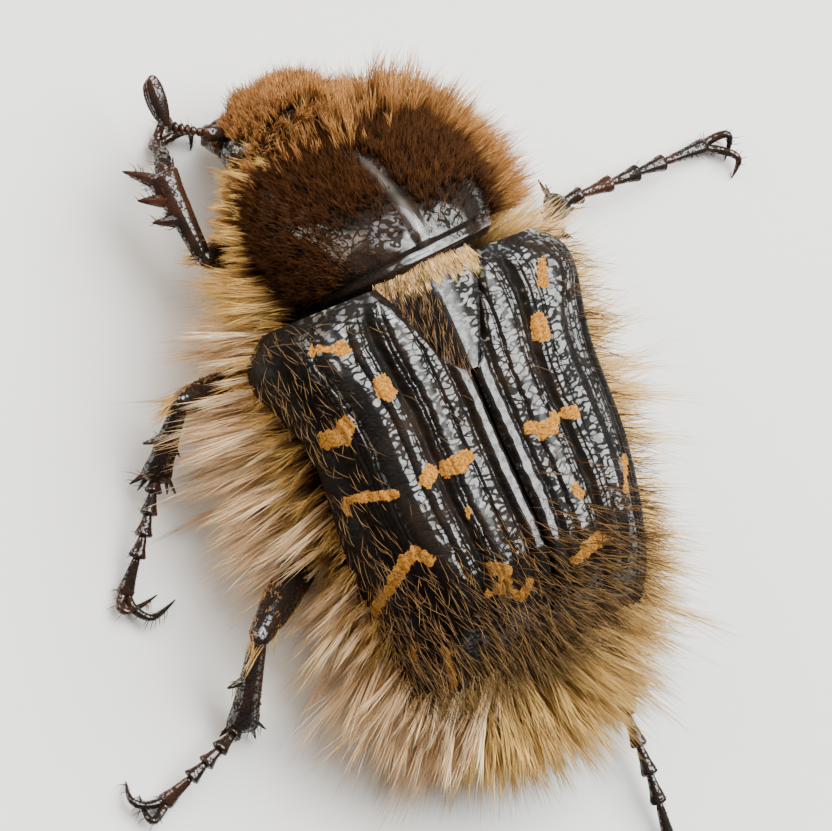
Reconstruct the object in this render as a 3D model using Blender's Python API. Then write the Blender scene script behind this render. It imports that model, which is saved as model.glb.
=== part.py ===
"""A Mediterranean hairy chafer, life size. The finished objects are in metres: +Z up, +Y towards
the head, +X to the beetle's right, with the floor at z = 0 and the origin under its breastbone.

Every size below is in millimetres. The nodes are modelled at 1 unit to the millimetre and are
brought to metres at the end.
"""

import math
import random
from dataclasses import dataclass

import bmesh
import bpy
from mathutils import Matrix, Vector
from mathutils.bvhtree import BVHTree

MM = 0.001
GAP = 0.25  # clearance between nodes that meet face to face
THIN = 0.5  # least thickness of shells, limbs, feelers and the roots of locks
LOCK_WIDTH = 0.85
LOCK_SINK = 0.4
FAN_AT_MIDDLE = 4.0  # degrees that the fringe is swept back beside the breastbone
FAN_PER_MM = 9.5  # degrees more for each millimetre towards the tail
LOCK_TAPER = (0.9, 1.0, 0.84, 0.5)  # a lock's width and thickness from its root to near its tip
TAU = 2 * math.pi

# Driving sizes of the body along Y
ELYTRA_FRONT = 1.6
ELYTRA_END = -5.1
SCUTELLUM_TIP = -0.2
SCUTELLUM_HALF = 0.9
PROTHORAX_LENGTH = 2.7
THORAX_END = -1.95
ABDOMEN_END = -5.2
SIDE_POWER = 2.6  # how square the body's cross-section is
HULL_SIDES = 20
KEEL_HEIGHT = 0.08  # of the ridge down the middle of the prothorax
LIMB_SIDES = 7

# Stations: y, half width, top, level of the widest line, lower edge
ELYTRA = (
    (1.60, 2.42, 3.98, 2.65, 2.20),
    (1.25, 2.78, 4.08, 2.62, 2.05),
    (0.80, 2.86, 4.13, 2.58, 2.05),
    (0.30, 2.74, 4.15, 2.66, 2.35),
    (-0.40, 2.57, 4.16, 2.76, 2.62),
    (-1.20, 2.55, 4.19, 2.70, 2.56),
    (-2.00, 2.54, 4.27, 2.55, 2.30),
    (-2.70, 2.45, 4.34, 2.40, 1.92),
    (-3.30, 2.35, 4.28, 2.28, 1.62),
    (-3.80, 2.28, 4.00, 2.20, 1.50),
    (-4.30, 2.23, 3.42, 2.08, 1.42),
    (-4.75, 2.18, 2.55, 1.85, 1.34),
    (-5.10, 2.06, 1.75, 1.40, 1.25),
)
PROTHORAX = (
    (0.00, 1.56, 3.98, 2.65, 1.50),
    (0.30, 1.84, 4.05, 2.52, 1.20),
    (0.80, 1.95, 3.92, 2.32, 0.98),
    (1.35, 1.98, 3.60, 2.12, 0.92),
    (1.90, 1.84, 3.12, 1.98, 0.98),
    (2.35, 1.52, 2.62, 1.88, 1.15),
    (2.70, 1.12, 2.20, 1.78, 1.38),
)
THORAX = (
    (1.65, 1.80, 3.20, 1.70, 0.80),
    (1.10, 2.28, 3.36, 1.60, 0.45),
    (0.20, 2.38, 3.40, 1.55, 0.33),
    (-0.90, 2.34, 3.42, 1.55, 0.33),
    (-1.95, 2.28, 3.46, 1.55, 0.38),
)
ABDOMEN = (
    (-2.05, 2.24, 3.44, 1.55, 0.36),
    (-3.00, 2.16, 3.42, 1.55, 0.38),
    (-3.60, 2.06, 3.10, 1.55, 0.44),
    (-4.20, 1.90, 2.45, 1.50, 0.56),
    (-4.80, 1.62, 1.80, 1.35, 0.76),
    (-5.20, 1.30, 1.45, 1.20, 0.92),
)
HEAD = (
    (-0.15, 0.62, 0.34, 0.0, -0.48),
    (0.25, 0.90, 0.40, 0.0, -0.62),
    (0.75, 0.88, 0.40, 0.0, -0.60),
    (1.05, 0.72, 0.34, 0.0, -0.48),
    (1.45, 0.70, 0.26, 0.0, -0.32),
    (1.72, 0.60, 0.22, 0.0, -0.26),
)
PROTHORAX_YAW = math.radians(4)
HEAD_YAW = math.radians(17)
HEAD_DROP = math.radians(72)
PROTHORAX_PLACE = Matrix.Translation((0.13, 1.74, 0)) @ Matrix.Rotation(PROTHORAX_YAW, 4, "Z")
HEAD_PLACE = (
    Matrix.Translation((-0.56, 4.50, 2.14))
    @ Matrix.Rotation(HEAD_YAW, 4, "Z")
    @ Matrix.Rotation(-HEAD_DROP, 4, "X")
)
EYE_RADIUS = 0.34
EYE_AT = (0.76, 0.42, 0.02)
ANTENNA_ROOT = (0.62, 0.86, 0.36)

draw = random.Random(11)


def smooth(stations, y):
    """The sizes at y, on a cubic through the stations, which run from high y to low y or up."""
    rows = sorted(stations)
    ys = [row[0] for row in rows]
    y = min(max(y, ys[0]), ys[-1])
    i = max(k for k in range(len(rows) - 1) if ys[k] <= y + 1e-9)
    step = ys[i + 1] - ys[i]
    t = (y - ys[i]) / step
    sizes = []
    for k in range(1, len(rows[0])):
        here, there = rows[i][k], rows[i + 1][k]
        before = rows[max(i - 1, 0)]
        after = rows[min(i + 2, len(rows) - 1)]
        rise = (there - before[k]) / (ys[i + 1] - before[0]) * step
        fall = (after[k] - here) / (after[0] - ys[i]) * step
        sizes.append(
            (2 * t**3 - 3 * t**2 + 1) * here
            + (t**3 - 2 * t**2 + t) * rise
            + (3 * t**2 - 2 * t**3) * there
            + (t**3 - t**2) * fall
        )
    return sizes


def spread(start, end, count):
    """count values from start to end, closer together near both ends."""
    return [
        start + (end - start) * 0.5 * (1 - math.cos(math.pi * i / (count - 1)))
        for i in range(count)
    ]


def power_of(value, exponent):
    """A signed power, for the corners of a superellipse."""
    return math.copysign(abs(value) ** exponent, value)


def add_object(name, bm):
    """A mesh object from a bmesh, with its faces pointing out."""
    bmesh.ops.recalc_face_normals(bm, faces=bm.faces)
    mesh = bpy.data.meshes.new(name)
    bm.to_mesh(mesh)
    bm.free()
    obj = bpy.data.objects.new(name, mesh)
    scratch.objects.link(obj)
    return obj


def loft(name, rings, tip=None):
    """A closed surface over rings of unlike sections, ended by flat caps or by one tip point."""
    bm = bmesh.new()
    rows = [[bm.verts.new(point) for point in ring] for ring in rings]
    count = len(rows[0])
    for low, high in zip(rows, rows[1:]):
        for i in range(count):
            j = (i + 1) % count
            bm.faces.new((low[i], low[j], high[j], high[i]))
    bm.faces.new(rows[0])
    if tip is None:
        bm.faces.new(rows[-1])
    else:
        end = bm.verts.new(tip)
        for i in range(count):
            bm.faces.new((rows[-1][i], rows[-1][(i + 1) % count], end))
    return add_object(name, bm)


def ball(name, at, radii, turn=Matrix.Identity(4), segments=14, rings=9):
    """An ellipsoid from a UV sphere."""
    bm = bmesh.new()
    bmesh.ops.create_uvsphere(bm, u_segments=segments, v_segments=rings, radius=1.0)
    place = Matrix.Translation(at) @ turn @ Matrix.Diagonal((*radii, 1.0))
    bmesh.ops.transform(bm, matrix=place, verts=bm.verts)
    return add_object(name, bm)


def spike(name, root, tip, radius, tip_radius=0.04, sides=6):
    """A tapered tooth, spur or joint, from a cone."""
    root, tip = Vector(root), Vector(tip)
    along = tip - root
    bm = bmesh.new()
    bmesh.ops.create_cone(
        bm,
        cap_ends=True,
        segments=sides,
        radius1=radius,
        radius2=tip_radius,
        depth=along.length,
    )
    turn = along.to_track_quat("Z", "Y").to_matrix().to_4x4()
    bmesh.ops.transform(bm, matrix=Matrix.Translation((root + tip) / 2) @ turn, verts=bm.verts)
    return add_object(name, bm)


def rod(name, points, radii):
    """A bent, tapering rod: a bevelled curve made a mesh, with its caps welded."""
    curve = bpy.data.curves.new(name, "CURVE")
    curve.dimensions = "3D"
    curve.bevel_depth = 1.0
    curve.bevel_resolution = 1
    curve.use_fill_caps = True
    spline = curve.splines.new("POLY")
    spline.points.add(len(points) - 1)
    for point, at, radius in zip(spline.points, points, radii):
        point.co = (*at, 1.0)
        point.radius = radius
    guide = bpy.data.objects.new(name, curve)
    scratch.objects.link(guide)
    bpy.context.view_layer.update()
    evaluated = guide.evaluated_get(bpy.context.evaluated_depsgraph_get())
    bm = bmesh.new()
    bm.from_mesh(evaluated.to_mesh())
    evaluated.to_mesh_clear()
    bpy.data.objects.remove(guide)
    bpy.data.curves.remove(curve)
    bmesh.ops.remove_doubles(bm, verts=bm.verts, dist=0.001)
    return add_object(name, bm)


def arc(start, middle, end, count):
    """Points on a smooth bend from start past middle to end."""
    start, middle, end = Vector(start), Vector(middle), Vector(end)
    found = []
    for i in range(count):
        t = i / (count - 1)
        found.append(start * (1 - t) ** 2 + middle * 2 * t * (1 - t) + end * t**2)
    return found


class Hull:
    """A body part lofted along its own Y axis over stations of y, half width, top, side, bottom."""

    def __init__(self, stations, place=Matrix.Identity(4), power=SIDE_POWER):
        self.stations = stations
        self.place = place
        self.power = power

    def local(self, y, angle, out=0.0):
        """The point at y and at an angle round the section, 0 on the right side and up to the top."""
        half, top, side, bottom = smooth(self.stations, y)
        x = half * power_of(math.cos(angle), 2 / self.power)
        rise = top - side if math.sin(angle) >= 0 else side - bottom
        z = side + rise * power_of(math.sin(angle), 2 / self.power)
        away = Vector((math.cos(angle) / half, 0, math.sin(angle) / rise)).normalized()
        return Vector((x, y, z)) + away * out, away

    def on(self, y, angle, out=0.0):
        """The place and the outward direction of a point on the surface."""
        point, away = self.local(y, angle, out)
        return self.place @ point, (self.place.to_3x3() @ away).normalized()

    def rings(self, ys, sides, relief=lambda y, angle: 0.0):
        """The sections at ys, raised or sunk by the relief."""
        return [
            [self.on(y, TAU * i / sides, relief(y, TAU * i / sides))[0] for i in range(sides)]
            for y in ys
        ]


prothorax_hull = Hull(PROTHORAX, PROTHORAX_PLACE, 2.3)
thorax_hull = Hull(THORAX, power=2.3)
abdomen_hull = Hull(ABDOMEN, power=2.3)
head_hull = Hull(HEAD, HEAD_PLACE, 2.3)


@dataclass
class Limb:
    """One leg, from its hip to the tips of its claws."""

    hip: tuple
    knee: tuple
    ankle: tuple
    foot: tuple
    claw: tuple
    femur_half: float
    tibia_half: float
    teeth: str


LEGS = {
    "front_left": Limb(
        (-0.95, 3.00, 0.75), (-2.50, 3.12, 1.50), (-2.63, 4.60, 1.50), (-1.98, 5.17, 0.20),
        (-1.52, 5.01, 0.06), 0.32, 0.30, "front",
    ),
    "front_right": Limb(
        (0.75, 3.20, 0.75), (2.20, 3.05, 1.30), (2.30, 4.15, 1.00), (1.65, 4.62, 0.20),
        (1.22, 4.86, 0.06), 0.32, 0.30, "front",
    ),
    "middle_left": Limb(
        (-1.25, 0.95, 0.55), (-3.78, 1.12, 1.48), (-4.28, 0.17, 0.50), (-5.42, -1.42, 0.20),
        (-4.74, -1.73, 0.06), 0.34, 0.30, "middle",
    ),
    "middle_right": Limb(
        (1.25, 0.95, 0.55), (3.15, 1.05, 1.50), (4.15, 1.84, 0.52), (7.27, 1.84, 0.20),
        (7.59, 1.32, 0.06), 0.34, 0.30, "middle",
    ),
    "hind_left": Limb(
        (-1.40, -1.20, 0.58), (-4.17, -2.86, 1.75), (-4.48, -4.08, 0.42), (-6.13, -4.77, 0.20),
        (-6.50, -4.36, 0.06), 0.36, 0.32, "hind",
    ),
    "hind_right": Limb(
        (1.40, -1.20, 0.58), (2.95, -3.85, 1.40), (1.83, -6.05, 0.50), (1.84, -8.85, 0.20),
        (2.16, -9.32, 0.06), 0.36, 0.32, "hind",
    ),
}
TARSUS_KNOTS = (0.0, 0.16, 0.36, 0.54, 0.72, 1.06)  # where the joints of a foot meet
TARSUS_HALF = 0.26
TARSUS_ARCH = 0.06


def side_ring(centre, along, up, across_half, up_half, sides=LIMB_SIDES):
    """An elliptical section of a limb, square to the way it runs."""
    along = Vector(along).normalized()
    across = along.cross(up).normalized()
    lift = across.cross(along).normalized()
    return [
        Vector(centre)
        + across * across_half * math.cos(TAU * i / sides)
        + lift * up_half * math.sin(TAU * i / sides)
        for i in range(sides)
    ]


def segment(name, start, end, halves, flat, up=(0, 0, 1), bow=0.0):
    """A leg segment: elliptical sections from start to end, with half widths along it, bowed up."""
    start, end = Vector(start), Vector(end)
    along = end - start
    last = len(halves) - 1
    rings = []
    for i, half in enumerate(halves):
        t = i / last
        centre = start + along * t + Vector(up) * bow * math.sin(math.pi * t)
        rings.append(side_ring(centre, along, Vector(up), half, max(half * flat, THIN / 2)))
    return loft(name, rings)


def femur(name, leg):
    """The thigh: spindle-shaped, with its trochanter at the hip."""
    widths = [leg.femur_half * share for share in (0.70, 0.95, 1.0, 0.92, 0.72)]
    return [segment(name, leg.hip, leg.knee, widths, 0.75, bow=0.08)]


def tibia(name, leg):
    """The shin: it widens to its end, with the teeth and spurs of its kind."""
    knee, ankle = Vector(leg.knee), Vector(leg.ankle)
    along = (ankle - knee).normalized()
    across = along.cross(Vector((0, 0, 1))).normalized()
    outer = across if across.dot(knee) > 0 else -across
    widths = [leg.tibia_half * share for share in (0.66, 0.72, 0.84, 0.94, 1.0)]
    pieces = [segment(name, knee, ankle, widths, 0.72)]
    length = (ankle - knee).length

    def tooth(place, direction, reach, radius):
        root = knee + along * length * place
        pieces.append(spike("tooth", root, root + direction * reach, radius))

    if leg.teeth == "front":
        for place in (0.55, 0.76, 0.96):
            tooth(place, (outer + along * 0.7).normalized(), leg.tibia_half + 0.34, 0.24)
    else:
        for turn in (-1, 1):
            tooth(0.52, (outer * turn + along * 0.35).normalized(), leg.tibia_half + 0.14, 0.24)
        tooth(0.92, (outer + along * 1.4).normalized(), 0.66, 0.2)
    tooth(0.92, (along * 1.6 - outer).normalized(), 0.74, 0.2)
    return pieces


def claw(root, bend, tip):
    """One hooked claw, from its root in the last joint to its point on the floor."""
    path = arc(root, bend, tip, 4)
    rings = []
    for i, half in enumerate((0.2, 0.18, 0.13, 0.05)):
        along = path[min(i + 1, 3)] - path[max(i - 1, 0)]
        rings.append(side_ring(path[i], along, Vector((0, 0, 1)), half, half, 5))
    return loft("claw", rings)


def tarsus(name, leg):
    """The foot: joints that widen forwards, the last one long, with two hooked claws."""
    ankle, foot, hook = Vector(leg.ankle), Vector(leg.foot), Vector(leg.claw)
    reach = (foot - ankle).length
    along = (foot - ankle).normalized()
    knots = [ankle.lerp(foot, t) for t in TARSUS_KNOTS]
    rings = []
    for low, high in zip(knots, knots[1:]):
        for at, share in ((low.lerp(high, 0.08), 0.72), (low.lerp(high, 0.86), 1.0)):
            arch = TARSUS_ARCH * math.sin(math.pi * (at - ankle).length / reach)
            half = TARSUS_HALF * share
            centre = at + Vector((0, 0, arch))
            rings.append(side_ring(centre, along, Vector((0, 0, 1)), half, half, 6))
    pieces = [loft(name, rings)]
    apart = along.cross(Vector((0, 0, 1))).normalized()
    for turn in (-1, 1):
        bend = foot + (hook - foot) * 0.35 + along * 0.34 + apart * turn * 0.3 + Vector((0, 0, 0.26))
        pieces.append(claw(foot - along * 0.25, bend, hook + apart * turn * 0.22))
    return pieces


def coxa(name, leg):
    """The hip joint: a ball set into the breast."""
    inward = -0.28 if leg.hip[0] > 0 else 0.28
    return [
        ball(name, Vector(leg.hip) + Vector((inward, 0, 0.12)), (0.52, 0.42, 0.42), segments=8, rings=7)
    ]


def edge_of_suture(y):
    """How far the inner edge of an elytron lies from the middle line at y."""
    if y <= SCUTELLUM_TIP - GAP:
        return GAP / 2
    return scutellum_half(y) + GAP


def scutellum_half(y):
    """Half the width of the scutellum at y."""
    t = (y - SCUTELLUM_TIP) / (ELYTRA_FRONT - SCUTELLUM_TIP)
    return SCUTELLUM_HALF * max(0.0, min(1.0, t)) ** 0.85


def lock(root, away, lie, length, width=LOCK_WIDTH, droop=0.12):
    """One flat, tapered lock of hair: it rises out of the surface and bends over along its lie."""
    root, away, lie = Vector(root), Vector(away).normalized(), Vector(lie).normalized()
    across = lie.cross(away)
    if across.length < 0.05:
        across = lie.cross(Vector((0, 0, 1)))
    across.normalize()
    rise = (away * 0.7 + lie * 0.7).normalized()
    tip = root + lie * length - away * droop * length
    path = arc(root - rise * LOCK_SINK, root + rise * length * 0.55, tip, 5)
    rings = []
    for i, size in enumerate(LOCK_TAPER):
        along = path[i + 1] - path[max(i - 1, 0)]
        flat = across.cross(along).normalized()
        half, thick = width * size / 2, THIN * size / 2
        rings.append(
            [path[i] + across * half, path[i] + flat * thick,
             path[i] - across * half, path[i] - flat * thick]
        )
    return loft("lock", rings, tip)


# Costae of one elytron: place as a share of its half width, height, half width
COSTAE = ((0.07, 0.06, 0.045), (0.31, 0.06, 0.06), (0.73, 0.09, 0.07))
ACROSS = (0.0, 0.07, 0.14, 0.22, 0.31, 0.38, 0.44, 0.54, 0.65, 0.73, 0.80, 0.88, 0.94, 0.98, 1.0)


def costa_height(share, y):
    """The height of the ridges at a place across the elytron, which die out at its two ends."""
    ends = min(1.0, (ELYTRA_FRONT - y) / 0.8, (y - ELYTRA_END) / 1.0)
    found = 0.0
    for place, height, width in COSTAE:
        found += height * math.exp(-(((share - place) / width) ** 2))
    return found * max(0.0, ends)


def elytron(name, side):
    """A wing case: ridged outside and smooth inside, with the two faces joined at its edges."""
    rings = []
    for y in spread(ELYTRA_FRONT, ELYTRA_END, 16):
        half, top, level, low = smooth(ELYTRA, y)
        inner_edge = edge_of_suture(y)
        outer, inner = [], []
        for share in ACROSS:
            x = inner_edge + (half - inner_edge) * share
            rise = max(0.0, 1 - (x / half) ** SIDE_POWER) ** (1 / SIDE_POWER)
            lift = costa_height(x / half, y)
            outer.append(Vector((side * x, y, level + (top - level) * rise + lift)))
        outer.append(Vector((side * (half - 0.06), y, low)))
        inside = half - THIN
        for share in (1.0, 0.96, 0.80, 0.55, 0.28, 0.0):
            x = inner_edge + (inside - inner_edge) * share
            rise = max(0.0, 1 - (x / inside) ** SIDE_POWER) ** (1 / SIDE_POWER)
            inner.append(Vector((side * x, y, level + (top - THIN - level) * rise)))
        inner.insert(0, Vector((side * (inside + 0.04), y, low)))
        rings.append(outer + inner)
    return [loft(name, rings), *wing_hair(side)]


# Rows of locks on the hind part of a wing case: y, first place across as a share, number, length,
# rise of the lie
WING_HAIR_ROWS = (
    (-2.7, 0.42, 2, 0.95, 1.15),
    (-3.4, 0.27, 3, 1.05, 1.15),
    (-4.1, 0.42, 2, 1.0, 0.8),
    (-4.7, 0.27, 3, 0.9, 0.6),
)
WING_HAIR_STEP = 0.29
WING_HAIR_WIDTH = 0.62


def wing_hair(side):
    """The locks on the hind part of a wing case, which lean up and back to the tail."""
    found = []
    for y, start, count, length, upwards in WING_HAIR_ROWS:
        half, top, level, _ = smooth(ELYTRA, y)
        for share in [start + WING_HAIR_STEP * i for i in range(count)]:
            rise = (1 - share**SIDE_POWER) ** (1 / SIDE_POWER)
            root = Vector((side * share * half, y, level + (top - level) * rise))
            tilt = (share / rise) ** (SIDE_POWER - 1) * (top - level) / half
            away = Vector((side * tilt, 0, 1))
            lie = Vector((side * (0.15 + 0.35 * share), -0.8, upwards))
            found.append(lock(root, away, lie, length, WING_HAIR_WIDTH, 0.0))
    return found


def scutellum(name):
    """The shield between the wing cases: a long triangle with a rounded tip."""
    rings = []
    for y in spread(ELYTRA_FRONT - 0.05, SCUTELLUM_TIP, 8):
        half = max(scutellum_half(y), 0.09)
        top = smooth(ELYTRA, y)[1] - 0.02
        rings.append(
            [
                Vector((x * half, y, top - drop))
                for x, drop in (
                    (-1.0, THIN), (1.0, THIN), (1.0, 0.1), (0.5, 0.0), (-0.5, 0.0), (-1.0, 0.1),
                )
            ]
        )
    return [loft(name, rings)]


def row_of_locks(hull, ys, angles, lie, length, width=LOCK_WIDTH, droop=0.12):
    """Locks over a hull at each y and angle. lie gives the way each one leans from its root."""
    found = []
    for y in ys:
        for angle in angles:
            at, away = hull.on(y + draw.uniform(-0.06, 0.06), angle + draw.uniform(-0.05, 0.05))
            reach = length * draw.uniform(0.86, 1.14)
            way = Vector(lie(at, away)) + Vector([draw.uniform(-0.12, 0.12) for _ in range(3)])
            broad = width * draw.uniform(0.85, 1.1)
            found.append(lock(at, away, way, reach, broad, droop))
    return found


def steps(start, end, count):
    """count evenly spaced values."""
    return [start + (end - start) * i / (count - 1) for i in range(count)]


def fan(down=0.0, sweep=0.0):
    """The lie of a fringe: out to the side and down, turned forwards at the neck and back at the tail."""
    def lie(at, away):
        turn = math.radians(FAN_AT_MIDDLE + FAN_PER_MM * -at.y + sweep)
        return math.copysign(math.cos(turn), away.x), -math.sin(turn), -down

    return lie


def both_sides(*angles):
    """The same angles up from the right side and from the left side."""
    right = [math.radians(angle) for angle in angles]
    return right + [math.pi - angle for angle in right]


def prothorax(name):
    """The fore body under its shield, with a keel down the middle and a ruff of hair."""
    def keel(y, angle):
        inside = 0.2 < y < PROTHORAX_LENGTH - 0.2
        return KEEL_HEIGHT if inside and abs(angle - math.pi / 2) < 0.1 else 0.0

    core = loft(name, prothorax_hull.rings(spread(0.0, PROTHORAX_LENGTH, 9), HULL_SIDES, keel))
    forward = prothorax_hull.place.to_3x3() @ Vector((0, 1, 0))

    def ruff(at, away):
        return forward * 1.0 + away * 0.55 + Vector((0, 0, 0.25))

    sides = row_of_locks(
        prothorax_hull, steps(0.45, 2.2, 5), both_sides(12), fan(0.0), 0.95
    )
    sides += row_of_locks(
        prothorax_hull, steps(0.75, 2.0, 3), both_sides(-24), fan(0.2), 0.95
    )
    front = row_of_locks(
        prothorax_hull, (2.42,), [math.radians(a) for a in range(8, 180, 23)], ruff, 0.8
    )
    return [core, *sides, *front]


def thorax(name):
    """The middle and hind breast with its breastbone, which rests on the floor, and its fringe."""
    core = loft(name, thorax_hull.rings(spread(1.65, THORAX_END, 6), HULL_SIDES))
    keel = loft(
        "breastbone",
        [
            [
                Vector((x * half, y * half, z))
                for x, y in (
                    (-1, -0.6), (-0.6, -1), (0.6, -1), (1, -0.6),
                    (1, 0.6), (0.6, 1), (-0.6, 1), (-1, 0.6),
                )
            ]
            for half, z in ((0.50, 0.0), (0.78, 0.36), (0.78, 0.9))
        ],
    )
    upper = row_of_locks(
        thorax_hull, steps(1.3, -1.7, 6), both_sides(2), fan(0.0), 1.75
    )
    lower = row_of_locks(
        thorax_hull, steps(1.0, -1.4, 4), both_sides(-32), fan(0.15, 10.0), 1.35
    )
    return [core, keel, *upper, *lower]


def abdomen(name):
    """The hind body, stepped at each belly plate, with a fringe that sweeps back."""
    plates = (-2.05, -2.62, -3.2, -3.78, -4.3, -4.78, ABDOMEN_END)
    rings = []
    for front, back in zip(plates, plates[1:]):
        for y, out in ((front - 0.02, 0.0), (back + 0.03, 0.07)):
            rings.append(
                [
                    abdomen_hull.on(y, TAU * i / HULL_SIDES, out if 2 * i > HULL_SIDES else 0.0)[0]
                    for i in range(HULL_SIDES)
                ]
            )
    core = loft(name, rings)
    upper = row_of_locks(
        abdomen_hull, steps(-2.3, -5.0, 6), both_sides(0), fan(0.0), 1.5
    )
    lower = row_of_locks(
        abdomen_hull, steps(-2.6, -4.7, 4), both_sides(-38), fan(0.12, 15.0), 1.15
    )
    return [core, *upper, *lower]


PYGIDIUM_AT = (0.0, -5.28, 1.08)
PYGIDIUM_RADII = (1.25, 0.40, 0.58)
PYGIDIUM_TILT = math.radians(-18)
# Rows of locks on the tail plate: level, number, length, rise of the lie
PYGIDIUM_ROWS = ((0.4, 5, 1.0, 0.1), (-0.35, 5, 1.1, -0.1))


def pygidium(name):
    """The tail plate below the wing cases, with hair that fans out backwards."""
    at, radii = Vector(PYGIDIUM_AT), PYGIDIUM_RADII
    core = ball(name, at, radii, Matrix.Rotation(PYGIDIUM_TILT, 4, "X"), 16, 10)
    pieces = [core]
    for height, count, reach, rise in PYGIDIUM_ROWS:
        for share in steps(-0.85, 0.85, count):
            wide = radii[0] * math.sqrt(1 - height**2)
            root = at + Vector((share * wide, -0.24, height * radii[2]))
            away = Vector((share * 0.7, -0.8, height + 0.3))
            lie = Vector((share * 0.8 + draw.uniform(-0.1, 0.1), -1.0, rise))
            pieces.append(lock(root, away, lie, reach * draw.uniform(0.88, 1.12)))
    return pieces


def head(name):
    """The lowered head: brow, cheeks and the clypeus, notched in front, under a tuft of hair."""
    core = loft(name, head_hull.rings(spread(-0.15, 1.72, 7), 16))
    corners = []
    for side in (-1, 1):
        root = HEAD_PLACE @ Vector((side * 0.34, 1.45, 0.02))
        tip = HEAD_PLACE @ Vector((side * 0.40, 1.92, 0.16))
        corners.append(spike("corner", root, tip, 0.27, 0.2, 8))
    tuft = row_of_locks(
        head_hull, (0.35,), [math.radians(a) for a in (25, 58, 90, 122, 155)],
        lambda at, away: away + Vector((0, 0, 0.6)), 0.7, 0.7,
    )
    return [core, *corners, *tuft]


def feeler_points(side):
    """Root, elbow and club tip of an antenna: the left one is held out, the right one tucked in."""
    x, y, z = ANTENNA_ROOT
    root = HEAD_PLACE @ Vector((side * x, y - 0.1, z))
    if side < 0:
        return root, Vector((-2.29, 5.32, 1.60)), Vector((-2.32, 6.10, 1.76))
    return root, Vector((0.42, 5.10, 1.05)), Vector((0.80, 4.78, 0.50))


def feeler_stalk(name, side):
    """The scape and the beaded stalk of an antenna."""
    root, elbow, _ = feeler_points(side)
    middle = (root + elbow) / 2 + Vector((0, 0, 0.06))
    return [rod(name, arc(root, middle, elbow, 7), (0.27, 0.29, 0.25, 0.26, 0.25, 0.26, 0.25))]


def feeler_club(name, side):
    """The club of an antenna: three leaves held together."""
    _, elbow, tip = feeler_points(side)
    along = tip - elbow
    turn = along.to_track_quat("Y", "Z").to_matrix().to_4x4()
    pieces = []
    for shift, reach in ((-0.11, 0.94), (0.11, 1.0), (0.0, 1.06)):
        centre = elbow + along * 0.56 + turn.to_3x3() @ Vector((shift, 0, 0))
        pieces.append(
            ball(name, centre, (0.17, along.length * 0.5 * reach, 0.26), turn, 7, 6)
        )
    return pieces


def palp(name, side):
    """A palp at the mouth: a short, blunt feeler."""
    root = HEAD_PLACE @ Vector((side * 0.42, 1.1, -0.5))
    bend = HEAD_PLACE @ Vector((side * 0.66, 1.45, -0.82))
    tip = HEAD_PLACE @ Vector((side * 0.58, 1.86, -0.66))
    return [rod(name, arc(root, bend, tip, 4), (0.2, 0.25, 0.26, 0.12))]


def eye(name, side):
    """A compound eye, set into the side of the head."""
    at = HEAD_PLACE @ Vector((side * EYE_AT[0], EYE_AT[1], EYE_AT[2]))
    return [ball(name, at, (EYE_RADIUS,) * 3, segments=12, rings=8)]


def leg_hair(leg, count, length, start=0.35, end=0.95, part="femur"):
    """Locks that hang behind a limb."""
    first, last = (leg.hip, leg.knee) if part == "femur" else (leg.knee, leg.ankle)
    first, last = Vector(first), Vector(last)
    along = (last - first).normalized()
    behind = Vector((along.y, -along.x, 0)).normalized()
    if behind.y > 0:
        behind = -behind
    found = []
    for t in steps(start, end, count):
        root = first.lerp(last, t) + behind * 0.12
        lie = behind + along * 0.55 + Vector((0, 0, draw.uniform(-0.15, 0.05)))
        reach = length * draw.uniform(0.85, 1.15)
        found.append(lock(root, Vector((0, 0, 1)), lie, reach, 0.7))
    return found


def grown(obj):
    """A copy of a piece that is larger by the gap all round, as a cutter."""
    bm = bmesh.new()
    bm.from_mesh(obj.data)
    bm.normal_update()
    moves = [vert.normal * GAP * min(vert.calc_shell_factor(), 1.6) for vert in bm.verts]
    for vert, move in zip(bm.verts, moves):
        vert.co += move
    mesh = bpy.data.meshes.new("guard")
    bm.to_mesh(mesh)
    bm.free()
    cutter = bpy.data.objects.new("guard", mesh)
    cutter.hide_render = True
    cutter.display_type = "WIRE"
    guards.objects.link(cutter)
    return cutter


def tree_of(obj):
    """The surface of an object, for a test of what crosses it."""
    bm = bmesh.new()
    bm.from_mesh(obj.data)
    tree = BVHTree.FromBMesh(bm)
    bm.free()
    return tree


def boolean(obj, operation, operand):
    """Applies a union or a difference with one object or with a whole collection."""
    modifier = obj.modifiers.new("Boolean", "BOOLEAN")
    modifier.operation = operation
    modifier.solver = "MANIFOLD"
    if isinstance(operand, bpy.types.Collection):
        modifier.operand_type = "COLLECTION"
        modifier.collection = operand
    else:
        modifier.object = operand
    bpy.context.view_layer.update()
    graph = bpy.context.evaluated_depsgraph_get()
    mesh = bpy.data.meshes.new_from_object(obj.evaluated_get(graph))
    obj.modifiers.clear()
    old = obj.data
    obj.data = mesh
    bpy.data.meshes.remove(old)


def keep_largest(obj):
    """Leaves only the largest closed surface of a node."""
    bm = bmesh.new()
    bm.from_mesh(obj.data)
    bmesh.ops.triangulate(bm, faces=bm.faces)
    unseen = set(bm.faces)
    shells = []
    while unseen:
        shell, queue = set(), [unseen.pop()]
        while queue:
            face = queue.pop()
            shell.add(face)
            for edge in face.edges:
                for other in edge.link_faces:
                    if other in unseen:
                        unseen.discard(other)
                        queue.append(other)
        shells.append(shell)
    largest = max(shells, key=lambda shell: sum(face.calc_area() for face in shell))
    scraps = [face for shell in shells if shell is not largest for face in shell]
    bmesh.ops.delete(bm, geom=scraps, context="FACES")
    bm.to_mesh(obj.data)
    bm.free()


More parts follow.
